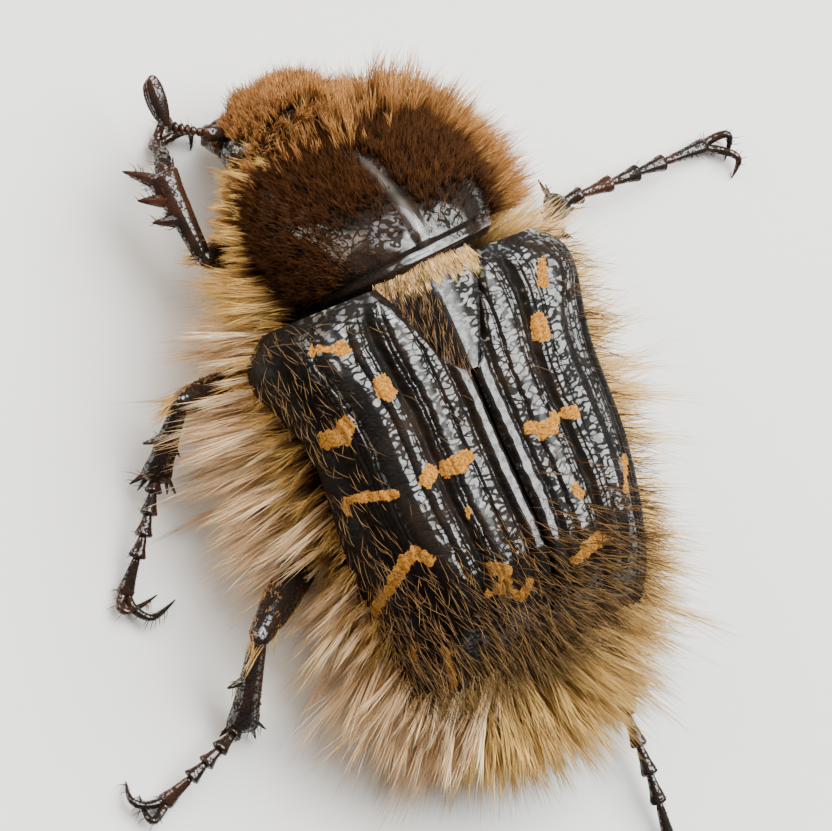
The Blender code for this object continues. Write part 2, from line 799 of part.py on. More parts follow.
# Colour, roughness and metallic value of each finish
FINISHES = {
    "black_shell": ((0.018, 0.014, 0.010, 1.0), 0.32, 0.0),
    "brown_coat": ((0.15, 0.075, 0.03, 1.0), 0.75, 0.0),
    "tan_coat": ((0.62, 0.42, 0.22, 1.0), 0.8, 0.0),
    "leg_black": ((0.02, 0.012, 0.008, 1.0), 0.3, 0.0),
    "eye_black": ((0.01, 0.009, 0.008, 1.0), 0.15, 0.0),
}


def finish_material(finish):
    """The Principled material of a finish, made once."""
    found = bpy.data.materials.get(finish)
    if found:
        return found
    colour, roughness, metallic = FINISHES[finish]
    material = bpy.data.materials.new(finish)
    material.use_nodes = True
    shader = material.node_tree.nodes["Principled BSDF"]
    shader.inputs["Base Color"].default_value = colour
    shader.inputs["Roughness"].default_value = roughness
    shader.inputs["Metallic"].default_value = metallic
    material.diffuse_color = colour
    return material


def add_node(name, pieces, finish):
    """Joins a node's pieces, cuts it clear of the nodes made before it and of the floor."""
    new_guards = [grown(piece) for piece in pieces]
    node = pieces[0]
    if len(pieces) > 1:
        group = bpy.data.collections.new("union")
        bpy.context.scene.collection.children.link(group)
        for piece in pieces[1:]:
            scratch.objects.unlink(piece)
            group.objects.link(piece)
        boolean(node, "UNION", group)
        for piece in pieces[1:]:
            bpy.data.objects.remove(piece)
        bpy.data.collections.remove(group)
    for guard, tree in made_guards:
        if tree_of(node).overlap(tree):
            boolean(node, "DIFFERENCE", guard)
    if min(vert.co.z for vert in node.data.vertices) < 0:
        boolean(node, "DIFFERENCE", floor)
    keep_largest(node)
    scratch.objects.unlink(node)
    beetle.objects.link(node)
    node.name = name
    node.data.name = name
    node.data.materials.clear()
    node.data.materials.append(finish_material(finish))
    made_guards.extend((guard, tree_of(guard)) for guard in new_guards)


def new_collection(name):
    """A collection in the scene."""
    collection = bpy.data.collections.new(name)
    bpy.context.scene.collection.children.link(collection)
    return collection


for old in list(bpy.data.objects):
    bpy.data.objects.remove(old)
beetle = new_collection("hairy_chafer")
scratch = new_collection("scratch")
guards = new_collection("guards")
made_guards = []

floor_mesh = bmesh.new()
bmesh.ops.create_cube(floor_mesh, size=40.0)
bmesh.ops.translate(floor_mesh, verts=floor_mesh.verts, vec=(0, 0, -20.0))
floor = add_object("floor_cutter", floor_mesh)
floor.hide_render = True
floor.display_type = "WIRE"

for word, sign in (("left", -1), ("right", 1)):
    add_node(f"elytron_{word}", elytron("elytron", sign), "black_shell")
add_node("scutellum", scutellum("scutellum"), "black_shell")
for word, leg in LEGS.items():
    tufts = leg_hair(leg, 4, 0.9) if leg.teeth != "front" else []
    add_node(f"femur_{word}", [*femur("femur", leg), *tufts], "leg_black")
for word, leg in LEGS.items():
    add_node(f"coxa_{word}", coxa("coxa", leg), "leg_black")
for word, leg in LEGS.items():
    add_node(f"tibia_{word}", tibia("tibia", leg), "leg_black")
for word, leg in LEGS.items():
    add_node(f"tarsus_{word}", tarsus("tarsus", leg), "leg_black")
for word, sign in (("left", -1), ("right", 1)):
    add_node(f"eye_{word}", eye("eye", sign), "eye_black")
    add_node(f"antenna_club_{word}", feeler_club("club", sign), "leg_black")
    add_node(f"antenna_stalk_{word}", feeler_stalk("stalk", sign), "leg_black")
    add_node(f"palp_{word}", palp("palp", sign), "leg_black")
add_node("head", head("head"), "brown_coat")
add_node("prothorax", prothorax("prothorax"), "brown_coat")
add_node("thorax", thorax("thorax"), "tan_coat")
add_node("abdomen", abdomen("abdomen"), "tan_coat")
add_node("pygidium", pygidium("pygidium"), "tan_coat")

for helper in [*guards.objects, *scratch.objects]:
    bpy.data.objects.remove(helper)
for helper in (guards, scratch):
    bpy.data.collections.remove(helper)
for node in beetle.objects:
    node.data.transform(Matrix.Scale(MM, 4))
    node.data.shade_smooth()
    node.data.set_sharp_from_angle(angle=math.radians(50))
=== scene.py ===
"""The looks of a Mediterranean hairy chafer: a still, life-size beetle on a plain pale floor.

Sizes are in millimetres, in the frame's own axes (+Y to the head, +X to the beetle's right, +Z up),
and are brought to metres as each mesh is finished.
"""

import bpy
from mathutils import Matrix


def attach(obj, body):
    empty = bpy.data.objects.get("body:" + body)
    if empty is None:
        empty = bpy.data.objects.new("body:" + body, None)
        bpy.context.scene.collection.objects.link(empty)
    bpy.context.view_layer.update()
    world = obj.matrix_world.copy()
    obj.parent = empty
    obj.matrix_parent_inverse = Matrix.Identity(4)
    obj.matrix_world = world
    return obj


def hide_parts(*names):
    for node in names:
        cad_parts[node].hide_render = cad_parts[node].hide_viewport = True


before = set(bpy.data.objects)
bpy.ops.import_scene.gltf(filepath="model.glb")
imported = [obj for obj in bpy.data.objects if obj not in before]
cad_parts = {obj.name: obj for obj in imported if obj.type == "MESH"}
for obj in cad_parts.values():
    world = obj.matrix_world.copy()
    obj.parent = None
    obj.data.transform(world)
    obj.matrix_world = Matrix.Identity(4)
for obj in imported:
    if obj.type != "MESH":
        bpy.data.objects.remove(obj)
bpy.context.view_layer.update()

import logging
import math
from collections.abc import Callable
from dataclasses import dataclass, field
from enum import Enum

import bpy
import numpy as np
from mathutils import Matrix, Vector, noise

LOG = logging.getLogger("hairy_chafer")
MM = 0.001
TAU = 2 * math.pi
BODY = "root"
SIDE_POWER = 2.6  # how square the section of the wing cases is
HULL_POWER = 2.3  # the same for the fore body, the breast, the belly and the head
FLOOR_CLEARANCE = 0.02

Array = np.ndarray
Piece = bpy.types.Object
Node = bpy.types.Node
Socket = bpy.types.NodeSocket
Colour = tuple[float, float, float, float]
Triple = tuple[float, float, float]
Stations = tuple[tuple[float, ...], ...]
Field = Callable[[Array, Array], Array]


class Side(Enum):
    """A side of the beetle, with the sign of its X."""

    LEFT = -1
    RIGHT = 1

    @property
    def word(self) -> str:
        """The side's name as the nodes have it."""
        return self.name.lower()


def unit(vectors: Array) -> Array:
    """Scales each row of an array to length one.

    Args:
        vectors: An array whose last axis holds X, Y and Z.

    Returns:
        The same array at unit length.
    """
    return vectors / np.maximum(np.linalg.norm(vectors, axis=-1, keepdims=True), 1e-9)


def ease(values: Array) -> Array:
    """Bends values from 0 to 1 into a soft step, and holds those outside."""
    held = np.clip(values, 0.0, 1.0)
    return held * held * (3 - 2 * held)


def bell(*offsets: Array, power: int = 2) -> Array:
    """Is 1 where all offsets are 0 and falls off round it, more squarely at a higher power."""
    return np.exp(-sum(offset**power for offset in offsets))


def moved(places: Array, matrix: Matrix) -> Array:
    """Takes rows of X, Y and Z through a matrix."""
    turn = np.array(matrix)
    return places @ turn[:3, :3].T + turn[:3, 3]


def smooth(stations: Stations, at: Array) -> list[Array]:
    """Reads sizes off a cubic through stations.

    Args:
        stations: Rows of a place and the sizes there.
        at: The places to read.

    Returns:
        One array for each size.
    """
    rows = np.array(sorted(stations))
    places = rows[:, 0]
    at = np.clip(at, places[0], places[-1])
    low = np.clip(np.searchsorted(places, at, side="right") - 1, 0, len(places) - 2)
    before = np.maximum(low - 1, 0)
    after = np.minimum(low + 2, len(places) - 1)
    step = places[low + 1] - places[low]
    t = (at - places[low]) / step
    found = []
    for sizes in rows[:, 1:].T:
        here, there = sizes[low], sizes[low + 1]
        rise = (there - sizes[before]) / (places[low + 1] - places[before]) * step
        fall = (sizes[after] - here) / (places[after] - places[low]) * step
        found.append(
            (2 * t**3 - 3 * t**2 + 1) * here
            + (t**3 - 2 * t**2 + t) * rise
            + (3 * t**2 - 2 * t**3) * there
            + (t**3 - t**2) * fall
        )
    return found


def power_of(values: Array, exponent: float) -> Array:
    """Raises values to a power and keeps their signs."""
    return np.sign(values) * np.abs(values) ** exponent


def grain(places: Array, size: float | Triple, seed: float = 0.0) -> Array:
    """Reads soft noise at places.

    Args:
        places: Rows of X, Y and Z in millimetres.
        size: How large its swells are, in millimetres, the same all ways or for each axis.
        seed: Shifts the noise.

    Returns:
        One value for each place, about -1 to 1.
    """
    scaled = places / np.array(size) + seed
    return np.array([noise.noise(place) for place in scaled.tolist()])


class Bench:
    """The modelling steps that every sub-assembly shares."""

    @staticmethod
    def deselect() -> None:
        """Leaves object mode with nothing selected."""
        bpy.ops.object.select_all(action="DESELECT")

    @staticmethod
    def pick(*pieces: Piece) -> None:
        """Selects only these pieces and makes the first one active."""
        Bench.deselect()
        for piece in pieces:
            piece.select_set(True)
        bpy.context.view_layer.objects.active = pieces[0]

    @staticmethod
    def points(piece: Piece) -> Array:
        """Reads a mesh's vertices as rows of X, Y and Z."""
        flat = np.empty(len(piece.data.vertices) * 3)
        piece.data.vertices.foreach_get("co", flat)
        return flat.reshape(-1, 3)

    @staticmethod
    def lay(piece: Piece, places: Array) -> None:
        """Moves a mesh's vertices to places in millimetres."""
        piece.data.vertices.foreach_set("co", (places * MM).ravel())
        piece.data.update()

    @staticmethod
    def mark(piece: Piece, name: str, values: Array) -> None:
        """Stores one number for each vertex as a named attribute."""
        layer = piece.data.attributes.new(name, "FLOAT", "POINT")
        layer.data.foreach_set("value", values.astype(np.float32).ravel())

    @staticmethod
    def sheet(name: str, columns: int, rows: int, surface: Field) -> Piece:
        """Adds a grid and lays it over a surface.

        Args:
            name: The piece's name.
            columns: Faces across.
            rows: Faces along.
            surface: Gives places for shares across and along.

        Returns:
            The open sheet.
        """
        Bench.deselect()
        bpy.ops.mesh.primitive_grid_add(x_subdivisions=columns, y_subdivisions=rows, size=2)
        piece = bpy.context.active_object
        piece.name = name
        flat = Bench.points(piece)
        Bench.lay(piece, surface((flat[:, 0] + 1) / 2, (flat[:, 1] + 1) / 2))
        return piece

    @staticmethod
    def globe(name: str, segments: int, rings: int, surface: Field) -> Piece:
        """Adds a sphere and lays it over a closed surface.

        Args:
            name: The piece's name.
            segments: Faces round.
            rings: Faces from pole to pole.
            surface: Gives places for shares from pole to pole and angles round.

        Returns:
            The closed piece.
        """
        Bench.deselect()
        bpy.ops.mesh.primitive_uv_sphere_add(segments=segments, ring_count=rings, radius=1)
        piece = bpy.context.active_object
        piece.name = name
        ball = Bench.points(piece)
        along = np.arccos(np.clip(ball[:, 2], -1, 1)) / math.pi
        Bench.lay(piece, surface(along, np.arctan2(ball[:, 1], ball[:, 0])))
        Bench.face_out(piece)
        return piece

    @staticmethod
    def face_out(piece: Piece) -> None:
        """Turns a closed mesh's faces outwards."""
        Bench.pick(piece)
        bpy.ops.object.mode_set(mode="EDIT")
        bpy.ops.mesh.select_all(action="SELECT")
        bpy.ops.mesh.normals_make_consistent(inside=False)
        bpy.ops.object.mode_set(mode="OBJECT")

    @staticmethod
    def modify(piece: Piece, kind: str, **settings: object) -> None:
        """Adds a modifier with the given settings and applies it.

        Args:
            piece: The mesh to change.
            kind: The modifier's type.
            **settings: Values of the modifier.
        """
        Bench.pick(piece)
        modifier = piece.modifiers.new(kind.lower(), kind)
        for key, value in settings.items():
            setattr(modifier, key, value)
        bpy.ops.object.modifier_apply(modifier=modifier.name)

    @staticmethod
    def limb(
        name: str, profile: Stations, place: Matrix, sides: int = 14, levels: int = 2
    ) -> Piece:
        """Draws a smooth, closed limb: a disc, extruded and widened station by station.

        Args:
            name: The piece's name.
            profile: Rows of distance along, half width and half height, in millimetres.
            place: Takes it from the Z axis to where it goes.
            sides: Corners of the section.
            levels: How often it is smoothed.

        Returns:
            The limb in place, in metres.
        """
        Bench.deselect()
        bpy.ops.mesh.primitive_circle_add(vertices=sides, radius=1, fill_type="NGON")
        piece = bpy.context.active_object
        piece.name = name
        bpy.ops.object.mode_set(mode="EDIT")
        bpy.ops.mesh.select_all(action="SELECT")
        bpy.ops.transform.resize(value=(profile[0][1], profile[0][2], 1))
        for (here, wide, high), (there, wider, higher) in zip(profile, profile[1:]):
            step = {"value": (0, 0, there - here)}
            bpy.ops.mesh.extrude_region_move(TRANSFORM_OT_translate=step)
            bpy.ops.transform.resize(value=(wider / wide, higher / high, 1))
        bpy.ops.mesh.select_all(action="SELECT")
        bpy.ops.mesh.normals_make_consistent(inside=False)
        bpy.ops.object.mode_set(mode="OBJECT")
        Bench.modify(piece, "SUBSURF", levels=levels, render_levels=levels)
        return Bench.put(piece, place)

    @staticmethod
    def rod(
        name: str, path: list[Vector], radii: list[float], detail: int = 3
    ) -> Piece:
        """Draws a bent, tapering rod as a bevelled curve and makes it a mesh.

        Args:
            name: The piece's name.
            path: Points along the rod, in millimetres.
            radii: Its radius at each point.
            detail: How round it is.

        Returns:
            The rod, in metres.
        """
        Bench.deselect()
        bpy.ops.curve.primitive_bezier_curve_add()
        piece = bpy.context.active_object
        piece.name = name
        curve = piece.data
        curve.splines.clear()
        spline = curve.splines.new("NURBS")
        spline.points.add(len(path) - 1)
        for point, place, radius in zip(spline.points, path, radii):
            point.co = (*(place * MM), 1.0)
            point.radius = radius
        spline.order_u = 3
        spline.use_endpoint_u = True
        curve.resolution_u = 4
        curve.bevel_depth = MM
        curve.bevel_resolution = detail
        curve.use_fill_caps = True
        bpy.ops.object.convert(target="MESH")
        Bench.modify(piece, "WELD", merge_threshold=1e-7)
        Bench.face_out(piece)
        return piece

    @staticmethod
    def put(piece: Piece, place: Matrix) -> Piece:
        """Moves a piece from its own millimetres to its place in metres, in its mesh itself."""
        Bench.pick(piece)
        piece.matrix_world = Matrix.Scale(MM, 4) @ place
        bpy.ops.object.transform_apply(location=True, rotation=True, scale=True)
        return piece

    @staticmethod
    def join(name: str, pieces: list[Piece]) -> Piece:
        """Joins pieces into one object under a name."""
        Bench.pick(*pieces)
        if len(pieces) > 1:
            bpy.ops.object.join()
        pieces[0].name = name
        pieces[0].data.name = name
        return pieces[0]

    @staticmethod
    def finish(
        piece: Piece, material: bpy.types.Material, *nodes: str, crease: float = 40.0
    ) -> Piece:
        """Shades and dresses a finished piece and ties it to the frame.

        Args:
            piece: The mesh.
            material: Its finish.
            *nodes: The CAD nodes that it stands for.
            crease: The angle past which an edge stays sharp, in degrees.

        Returns:
            The same piece.
        """
        Bench.pick(piece)
        bpy.ops.object.shade_smooth_by_angle(angle=math.radians(crease))
        piece.data.materials.clear()
        piece.data.materials.append(material)
        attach(piece, BODY)
        if nodes:
            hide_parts(*nodes)
        LOG.info("%s: %d faces", piece.name, len(piece.data.polygons))
        return piece


class Graph:
    """A node tree under construction, of a material or of a shader node group."""

    def __init__(self, tree: bpy.types.NodeTree) -> None:
        """Keeps the tree that nodes are added to."""
        self.tree = tree

    def add(
        self, kind: str, options: dict[str, object] | None = None, **values: object
    ) -> Node:
        """Adds a node.

        Args:
            kind: The node's type without its prefix.
            options: Properties of the node itself.
            **values: Values or sockets for its inputs, by name with _ for a space.

        Returns:
            The new node.
        """
        node = self.tree.nodes.new(f"ShaderNode{kind}")
        for key, value in (options or {}).items():
            setattr(node, key, value)
        self.fill(node, **values)
        return node

    def fill(self, node: Node, **values: object) -> None:
        """Feeds a node's inputs, by name with _ for a space."""
        for key, value in values.items():
            self.feed(node.inputs[key.replace("_", " ")], value)

    def feed(self, socket: Socket, value: object) -> None:
        """Links a socket to another, or gives it a plain value."""
        if isinstance(value, Socket):
            self.tree.links.new(value, socket)
        else:
            socket.default_value = value

    def math(self, operation: str, first: object, second: object = 0.0) -> Socket:
        """Adds one step of arithmetic."""
        node = self.add("Math", {"operation": operation})
        self.feed(node.inputs[0], first)
        self.feed(node.inputs[1], second)
        return node.outputs[0]

    def plus(self, first: object, second: object) -> Socket:
        """Adds two values."""
        return self.math("ADD", first, second)

    def times(self, first: object, second: object) -> Socket:
        """Multiplies two values."""
        return self.math("MULTIPLY", first, second)

    def rest(self, value: object) -> Socket:
        """Takes a value from one."""
        return self.math("SUBTRACT", 1.0, value)

    def vector(self, operation: str, first: object, second: object) -> Socket:
        """Adds one step of arithmetic on places, where a scale takes a plain second value."""
        node = self.add("VectorMath", {"operation": operation})
        self.feed(node.inputs[0], first)
        self.feed(node.inputs["Scale" if operation == "SCALE" else 1], second)
        return node.outputs[0]

    def noise(
        self, place: object, scale: object, detail: float, output: str = "Fac"
    ) -> Socket:
        """Adds soft noise at a place, with so many swells to the metre."""
        return self.add("TexNoise", Vector=place, Scale=scale, Detail=detail).outputs[output]

    def blend(self, share: object, first: object, second: object) -> Socket:
        """Mixes two colours by a share."""
        node = self.add("Mix", {"data_type": "RGBA"})
        self.feed(node.inputs[0], share)
        self.feed(node.inputs[6], first)
        self.feed(node.inputs[7], second)
        return node.outputs[2]

    def span(
        self, value: object, low: float, high: float, bottom: float = 0.0, top: float = 1.0
    ) -> Socket:
        """Maps a value from one range to another, held at both ends."""
        node = self.add("MapRange", {"interpolation_type": "SMOOTHSTEP"})
        for socket, entry in zip(node.inputs, (value, low, high, bottom, top)):
            self.feed(socket, entry)
        return node.outputs[0]

    def attribute(self, name: str) -> Socket:
        """Reads a mesh attribute as a number."""
        return self.add("Attribute", {"attribute_name": name}).outputs["Fac"]


class Wrinkles:
    """The shader group of a wrinkled, pitted shell, shared by all its finishes."""

    NAME = "shell_wrinkles"
    INPUTS = {"Size": 0.0001, "Stretch": 1.0, "Twist": 1.0}
    OUTPUTS = ("Height", "Pits")
    # Scales of the noises that bend, widen and grain the wrinkles, as shares of their own scale
    BEND = 0.6
    WIDEN = 0.35
    GRAIN = 2.2
    GRAIN_HEIGHT = 0.10
    WIDTHS = (0.55, 1.6)
    PIT_EDGE = (0.050, 0.105)

    @classmethod
    def tree(cls) -> bpy.types.NodeTree:
        """Returns the group, and builds it the first time."""
        found = bpy.data.node_groups.get(cls.NAME)
        return found or cls.build()

    @classmethod
    def build(cls) -> bpy.types.NodeTree:
        """Builds the group: lines where a bent noise crosses its middle value are pits.

        Returns:
            A tree with Size, Stretch and Twist as inputs, and Height and Pits as outputs.
        """
        tree = bpy.data.node_groups.new(cls.NAME, "ShaderNodeTree")
        for name, value in cls.INPUTS.items():
            socket = tree.interface.new_socket(name, in_out="INPUT", socket_type="NodeSocketFloat")
            socket.default_value = value
        for name in cls.OUTPUTS:
            tree.interface.new_socket(name, in_out="OUTPUT", socket_type="NodeSocketFloat")
        graph = Graph(tree)
        inlet = tree.nodes.new("NodeGroupInput").outputs
        outlet = tree.nodes.new("NodeGroupOutput")
        place = graph.add("TexCoord").outputs["Object"]
        split = graph.add("SeparateXYZ", Vector=place).outputs
        along = graph.times(split["Y"], inlet["Stretch"])
        joined = graph.add("CombineXYZ", X=split["X"], Y=along, Z=split["Z"]).outputs[0]
        scale = graph.math("DIVIDE", 1.0, inlet["Size"])
        warp = graph.noise(joined, graph.times(scale, cls.BEND), 2.0, "Color")
        drift = graph.vector("SUBTRACT", warp, (0.5, 0.5, 0.5))
        shift = graph.vector("SCALE", drift, graph.times(inlet["Size"], inlet["Twist"]))
        swells = graph.noise(graph.vector("ADD", joined, shift), scale, 0.5)
        off = graph.math("ABSOLUTE", graph.math("SUBTRACT", swells, 0.5))
        broad = graph.noise(place, graph.times(scale, cls.WIDEN), 1.0)
        width = graph.span(broad, 0.32, 0.68, *cls.WIDTHS)
        pits = graph.span(graph.math("DIVIDE", off, width), *cls.PIT_EDGE, 1.0, 0.0)
        fine = graph.noise(place, graph.times(scale, cls.GRAIN), 3.0)
        height = graph.plus(graph.rest(pits), graph.times(fine, cls.GRAIN_HEIGHT))
        graph.fill(outlet, Height=height, Pits=pits)
        return tree


@dataclass(frozen=True)
class Finish:
    """A material of the beetle, made once under its name."""

    name: str

    def material(self) -> bpy.types.Material:
        """Builds the finish, or returns it if it is there.

        Returns:
            The material.
        """
        found = bpy.data.materials.get(self.name)
        if found:
            return found
        material = bpy.data.materials.new(self.name)
        material.use_nodes = True
        self.dress(Graph(material.node_tree), material.node_tree.nodes["Principled BSDF"])
        return material

    def dress(self, graph: Graph, shader: Node) -> None:
        """Feeds the shader, each kind of finish in its own way."""
        raise NotImplementedError(self.name)


@dataclass(frozen=True)
class ShellFinish(Finish):
    """Glossy chitin. A marked mesh says where its ridges, painted shade, painted highlight and
    spots of down are.
    """

    colour: Colour = (0.0050, 0.0038, 0.0030, 1.0)
    tint: Colour = (0.016, 0.009, 0.005, 1.0)
    roughness: float = 0.42
    gloss: float = 1.0
    ridge_gloss: float = 1.0
    gloss_roughness: float = 0.13
    gloss_ior: float = 1.75
    specular: float = 0.06
    wrinkle: float = 0.10
    stretch: float = 1.4
    twist: float = 1.6
    depth: float = 0.009
    marked: bool = False
    # Painted shade: the darker colour laid on marked sides as shade
    painted_shade_colour: Colour = (0.0036, 0.0022, 0.0013, 1.0)
    # Painted highlight: the pale colour of the marked keel line
    painted_highlight: Colour = (0.085, 0.072, 0.060, 1.0)
    down: Colour = (0.20, 0.075, 0.012, 1.0)
    down_light: Colour = (0.42, 0.19, 0.034, 1.0)
    # Swells to the metre of the clouded tone, of the grit in the gloss and of the fluff of down
    cloud_scale: float = 1400.0
    grit_scale: float = 9000.0
    fluff_scale: float = 26000.0

    def dress(self, graph: Graph, shader: Node) -> None:
        """Lays on the clouded tone, the wrinkles and, where the mesh is marked, its marks.

        Args:
            graph: The material's graph.
            shader: Its surface shader.
        """
        wrinkles = graph.add(
            "Group", {"node_tree": Wrinkles.tree()},
            Size=self.wrinkle * MM, Stretch=self.stretch, Twist=self.twist,
        ).outputs
        height, pits = wrinkles["Height"], wrinkles["Pits"]
        place = graph.add("TexCoord").outputs["Object"]
        cloud = graph.noise(place, self.cloud_scale, 4.0)
        colour = graph.blend(graph.span(cloud, 0.4, 0.75), self.colour, self.tint)
        roughness = graph.plus(graph.times(pits, 0.2), self.roughness)
        gloss = graph.times(graph.rest(graph.times(pits, 0.97)), self.gloss)
        if self.marked:
            # Ridges are smooth and bright, with a gritty gloss
            ridge = graph.span(graph.attribute("ridge"), 0.2, 1.0)
            height = graph.times(height, graph.rest(ridge))
            gloss = graph.math("MAXIMUM", gloss, graph.times(ridge, self.ridge_gloss))
            grit = graph.noise(place, self.grit_scale, 3.0)
            gloss = graph.times(gloss, graph.span(grit, 0.38, 0.56, 0.55, 1.0))
            # Painted shade darkens the marked sides and takes their gloss, and a painted highlight
            # makes the keel line pale
            painted_shade = graph.attribute("painted_shade")
            colour = graph.blend(painted_shade, colour, self.painted_shade_colour)
            pale = graph.times(graph.attribute("painted_highlight"), graph.span(cloud, 0.30, 0.62, 0.1, 1.0))
            colour = graph.blend(pale, colour, self.painted_highlight)
            # Spots of down have a ragged edge and cover all that lies under them
            fluff = graph.noise(place, self.fluff_scale, 3.0)
            spot = graph.attribute("spot")
            ragged = graph.plus(graph.plus(spot, graph.times(fluff, 0.35)), graph.times(grit, 0.55))
            mask = graph.times(graph.span(ragged, 0.56, 0.66), graph.span(spot, 0.0, 0.10))
            ochre = graph.blend(graph.span(fluff, 0.36, 0.62), self.down, self.down_light)
            colour = graph.blend(mask, colour, ochre)
            roughness = graph.plus(roughness, graph.times(mask, 0.5))
            bare = graph.rest(graph.math("MAXIMUM", painted_shade, graph.attribute("sunk")))
            shown = graph.times(bare, graph.rest(mask))
            gloss = graph.times(gloss, shown)
            felt = graph.times(mask, graph.times(fluff, 1.5))
            height = graph.plus(graph.times(height, shown), felt)
        bump = graph.add("Bump", Height=height, Distance=self.depth * MM, Strength=1.0)
        graph.fill(
            shader, Base_Color=colour, Roughness=roughness, Specular_IOR_Level=self.specular,
            Coat_Weight=gloss, Coat_Roughness=self.gloss_roughness, Coat_IOR=self.gloss_ior,
            Normal=bump.outputs["Normal"],
        )


@dataclass(frozen=True)
class HairFinish(Finish):
    """Hair whose tone varies from one to the next and lightens towards the tips."""

    dark: Colour
    light: Colour
    root: Colour
    roughness: float = 0.45
    shine: float = 0.35
    root_share: float = 0.55

    def dress(self, graph: Graph, shader: Node) -> None:
        """Colours each hair by its own tone, from a darker root."""
        tone = graph.blend(graph.attribute("tone"), self.dark, self.light)
        share = graph.span(graph.attribute("along"), 0.0, self.root_share)
        graph.fill(
            shader, Base_Color=graph.blend(share, self.root, tone), Roughness=self.roughness,
            Specular_IOR_Level=self.shine,
        )


@dataclass(frozen=True)
class PlainFinish(Finish):
    """One even, matt colour."""

    colour: Colour
    roughness: float = 0.9

    def dress(self, graph: Graph, shader: Node) -> None:
        """Sets the colour and the roughness."""
        graph.fill(shader, Base_Color=self.colour, Roughness=self.roughness)


WING_CASE = ShellFinish(
    "wing_case_shell", wrinkle=0.16, stretch=1.7, twist=0.9, depth=0.006, marked=True
)
SHIELD = ShellFinish(
    "shield_shell", colour=(0.008, 0.005, 0.003, 1.0), tint=(0.020, 0.010, 0.005, 1.0),
    roughness=0.45, gloss=0.6, wrinkle=0.12, stretch=1.0, twist=0.8, depth=0.006, marked=True,
)
HEAD_SHELL = ShellFinish(
    "head_shell_finish", colour=(0.020, 0.012, 0.007, 1.0), tint=(0.050, 0.024, 0.011, 1.0),
    roughness=0.45, gloss=0.8, wrinkle=0.085, stretch=1.0, twist=0.6, depth=0.007,
)
BREAST = ShellFinish(
    "breast_shell", roughness=0.45, gloss=0.6, wrinkle=0.13, stretch=1.0, twist=0.6, depth=0.006
)
LIMB = ShellFinish(
    "limb_shell", colour=(0.010, 0.006, 0.004, 1.0), tint=(0.045, 0.014, 0.006, 1.0),
    roughness=0.4, gloss=0.8, wrinkle=0.07, stretch=1.0, twist=0.6, depth=0.003,
)
EYE = ShellFinish(
    "eye_facets", colour=(0.006, 0.005, 0.005, 1.0), tint=(0.02, 0.012, 0.008, 1.0),
    roughness=0.3, gloss_roughness=0.05, wrinkle=0.03, stretch=1.0, twist=0.0, depth=0.003,
)
BROWN_HAIR = HairFinish(
    "brown_hair", (0.012, 0.0045, 0.0016, 1.0), (0.085, 0.030, 0.008, 1.0),
    (0.008, 0.0035, 0.0015, 1.0), roughness=0.6, shine=0.06,
)
RUST_HAIR = HairFinish(
    "rust_hair", (0.15, 0.052, 0.011, 1.0), (0.50, 0.235, 0.066, 1.0),
    (0.035, 0.014, 0.005, 1.0), shine=0.2,
)
CREAM_HAIR = HairFinish(
    "cream_hair", (0.60, 0.35, 0.16, 1.0), (0.97, 0.76, 0.48, 1.0), (0.33, 0.16, 0.065, 1.0)
)
GOLD_HAIR = HairFinish(
    "gold_hair", (0.44, 0.235, 0.055, 1.0), (0.85, 0.56, 0.18, 1.0), (0.20, 0.09, 0.028, 1.0)
)
WING_HAIR = HairFinish(
    "wing_hair", (0.08, 0.038, 0.011, 1.0), (0.27, 0.145, 0.045, 1.0), (0.05, 0.022, 0.008, 1.0)
)
YELLOW_HAIR = HairFinish(
    "yellow_hair", (0.48, 0.29, 0.10, 1.0), (0.76, 0.53, 0.23, 1.0), (0.30, 0.16, 0.05, 1.0)
)
PALE_FLOOR = PlainFinish("pale_floor", (0.78, 0.77, 0.75, 1.0))


@dataclass
class Hull:
    """A body surface swept along its own Y, over stations of half width, top, side and bottom."""

    stations: Stations
    place: Matrix = field(default_factory=lambda: Matrix.Identity(4))
    power: float = HULL_POWER

    def surface(self, y: Array, angle: Array, out: Array | float = 0.0) -> Array:
        """Gives places on the surface.

        Args:
            y: Places along.
            angle: Angles round, 0 on the right side and up to the top.
            out: Heights over the surface.

        Returns:
            Rows of X, Y and Z in the frame.
        """
        half, top, level, low = smooth(self.stations, y)
        rise = np.where(np.sin(angle) >= 0, top - level, level - low)
        tilt = [np.cos(angle) / half, np.zeros_like(y), np.sin(angle) / rise]
        away = unit(np.stack(tilt, axis=-1))
        bare = np.stack(
            [
                half * power_of(np.cos(angle), 2 / self.power),
                y,
                level + rise * power_of(np.sin(angle), 2 / self.power),
            ],
            axis=-1,
        )
        return moved(bare + away * np.reshape(out, (-1, 1)), self.place)

    def globe(self, name: str, segments: int, rings: int, relief: Field) -> Piece:
        """Lays a sphere over the whole hull, closed over both ends.

        Args:
            name: The piece's name.
            segments: Faces round.
            rings: Faces along.
            relief: Heights for places along and angles round.

        Returns:
            The closed piece.
        """
        first, last = self.stations[0][0], self.stations[-1][0]
        ends = 1.5 / rings

        def shape(share: Array, angle: Array) -> Array:
            """Gives places for shares along, with each end closed in one point."""
            inner = np.clip((share - ends) / (1 - 2 * ends), 0, 1)
            y = first + (last - first) * inner
            places = self.surface(y, angle, relief(y, angle))
            for end, pole in ((first, share < 0.4 / rings), (last, share > 1 - 0.4 / rings)):
                ring = self.surface(np.full(8, end), np.arange(8) * TAU / 8)
                places[pole] = ring.mean(axis=0)
            return places

        return Bench.globe(name, segments, rings, shape)


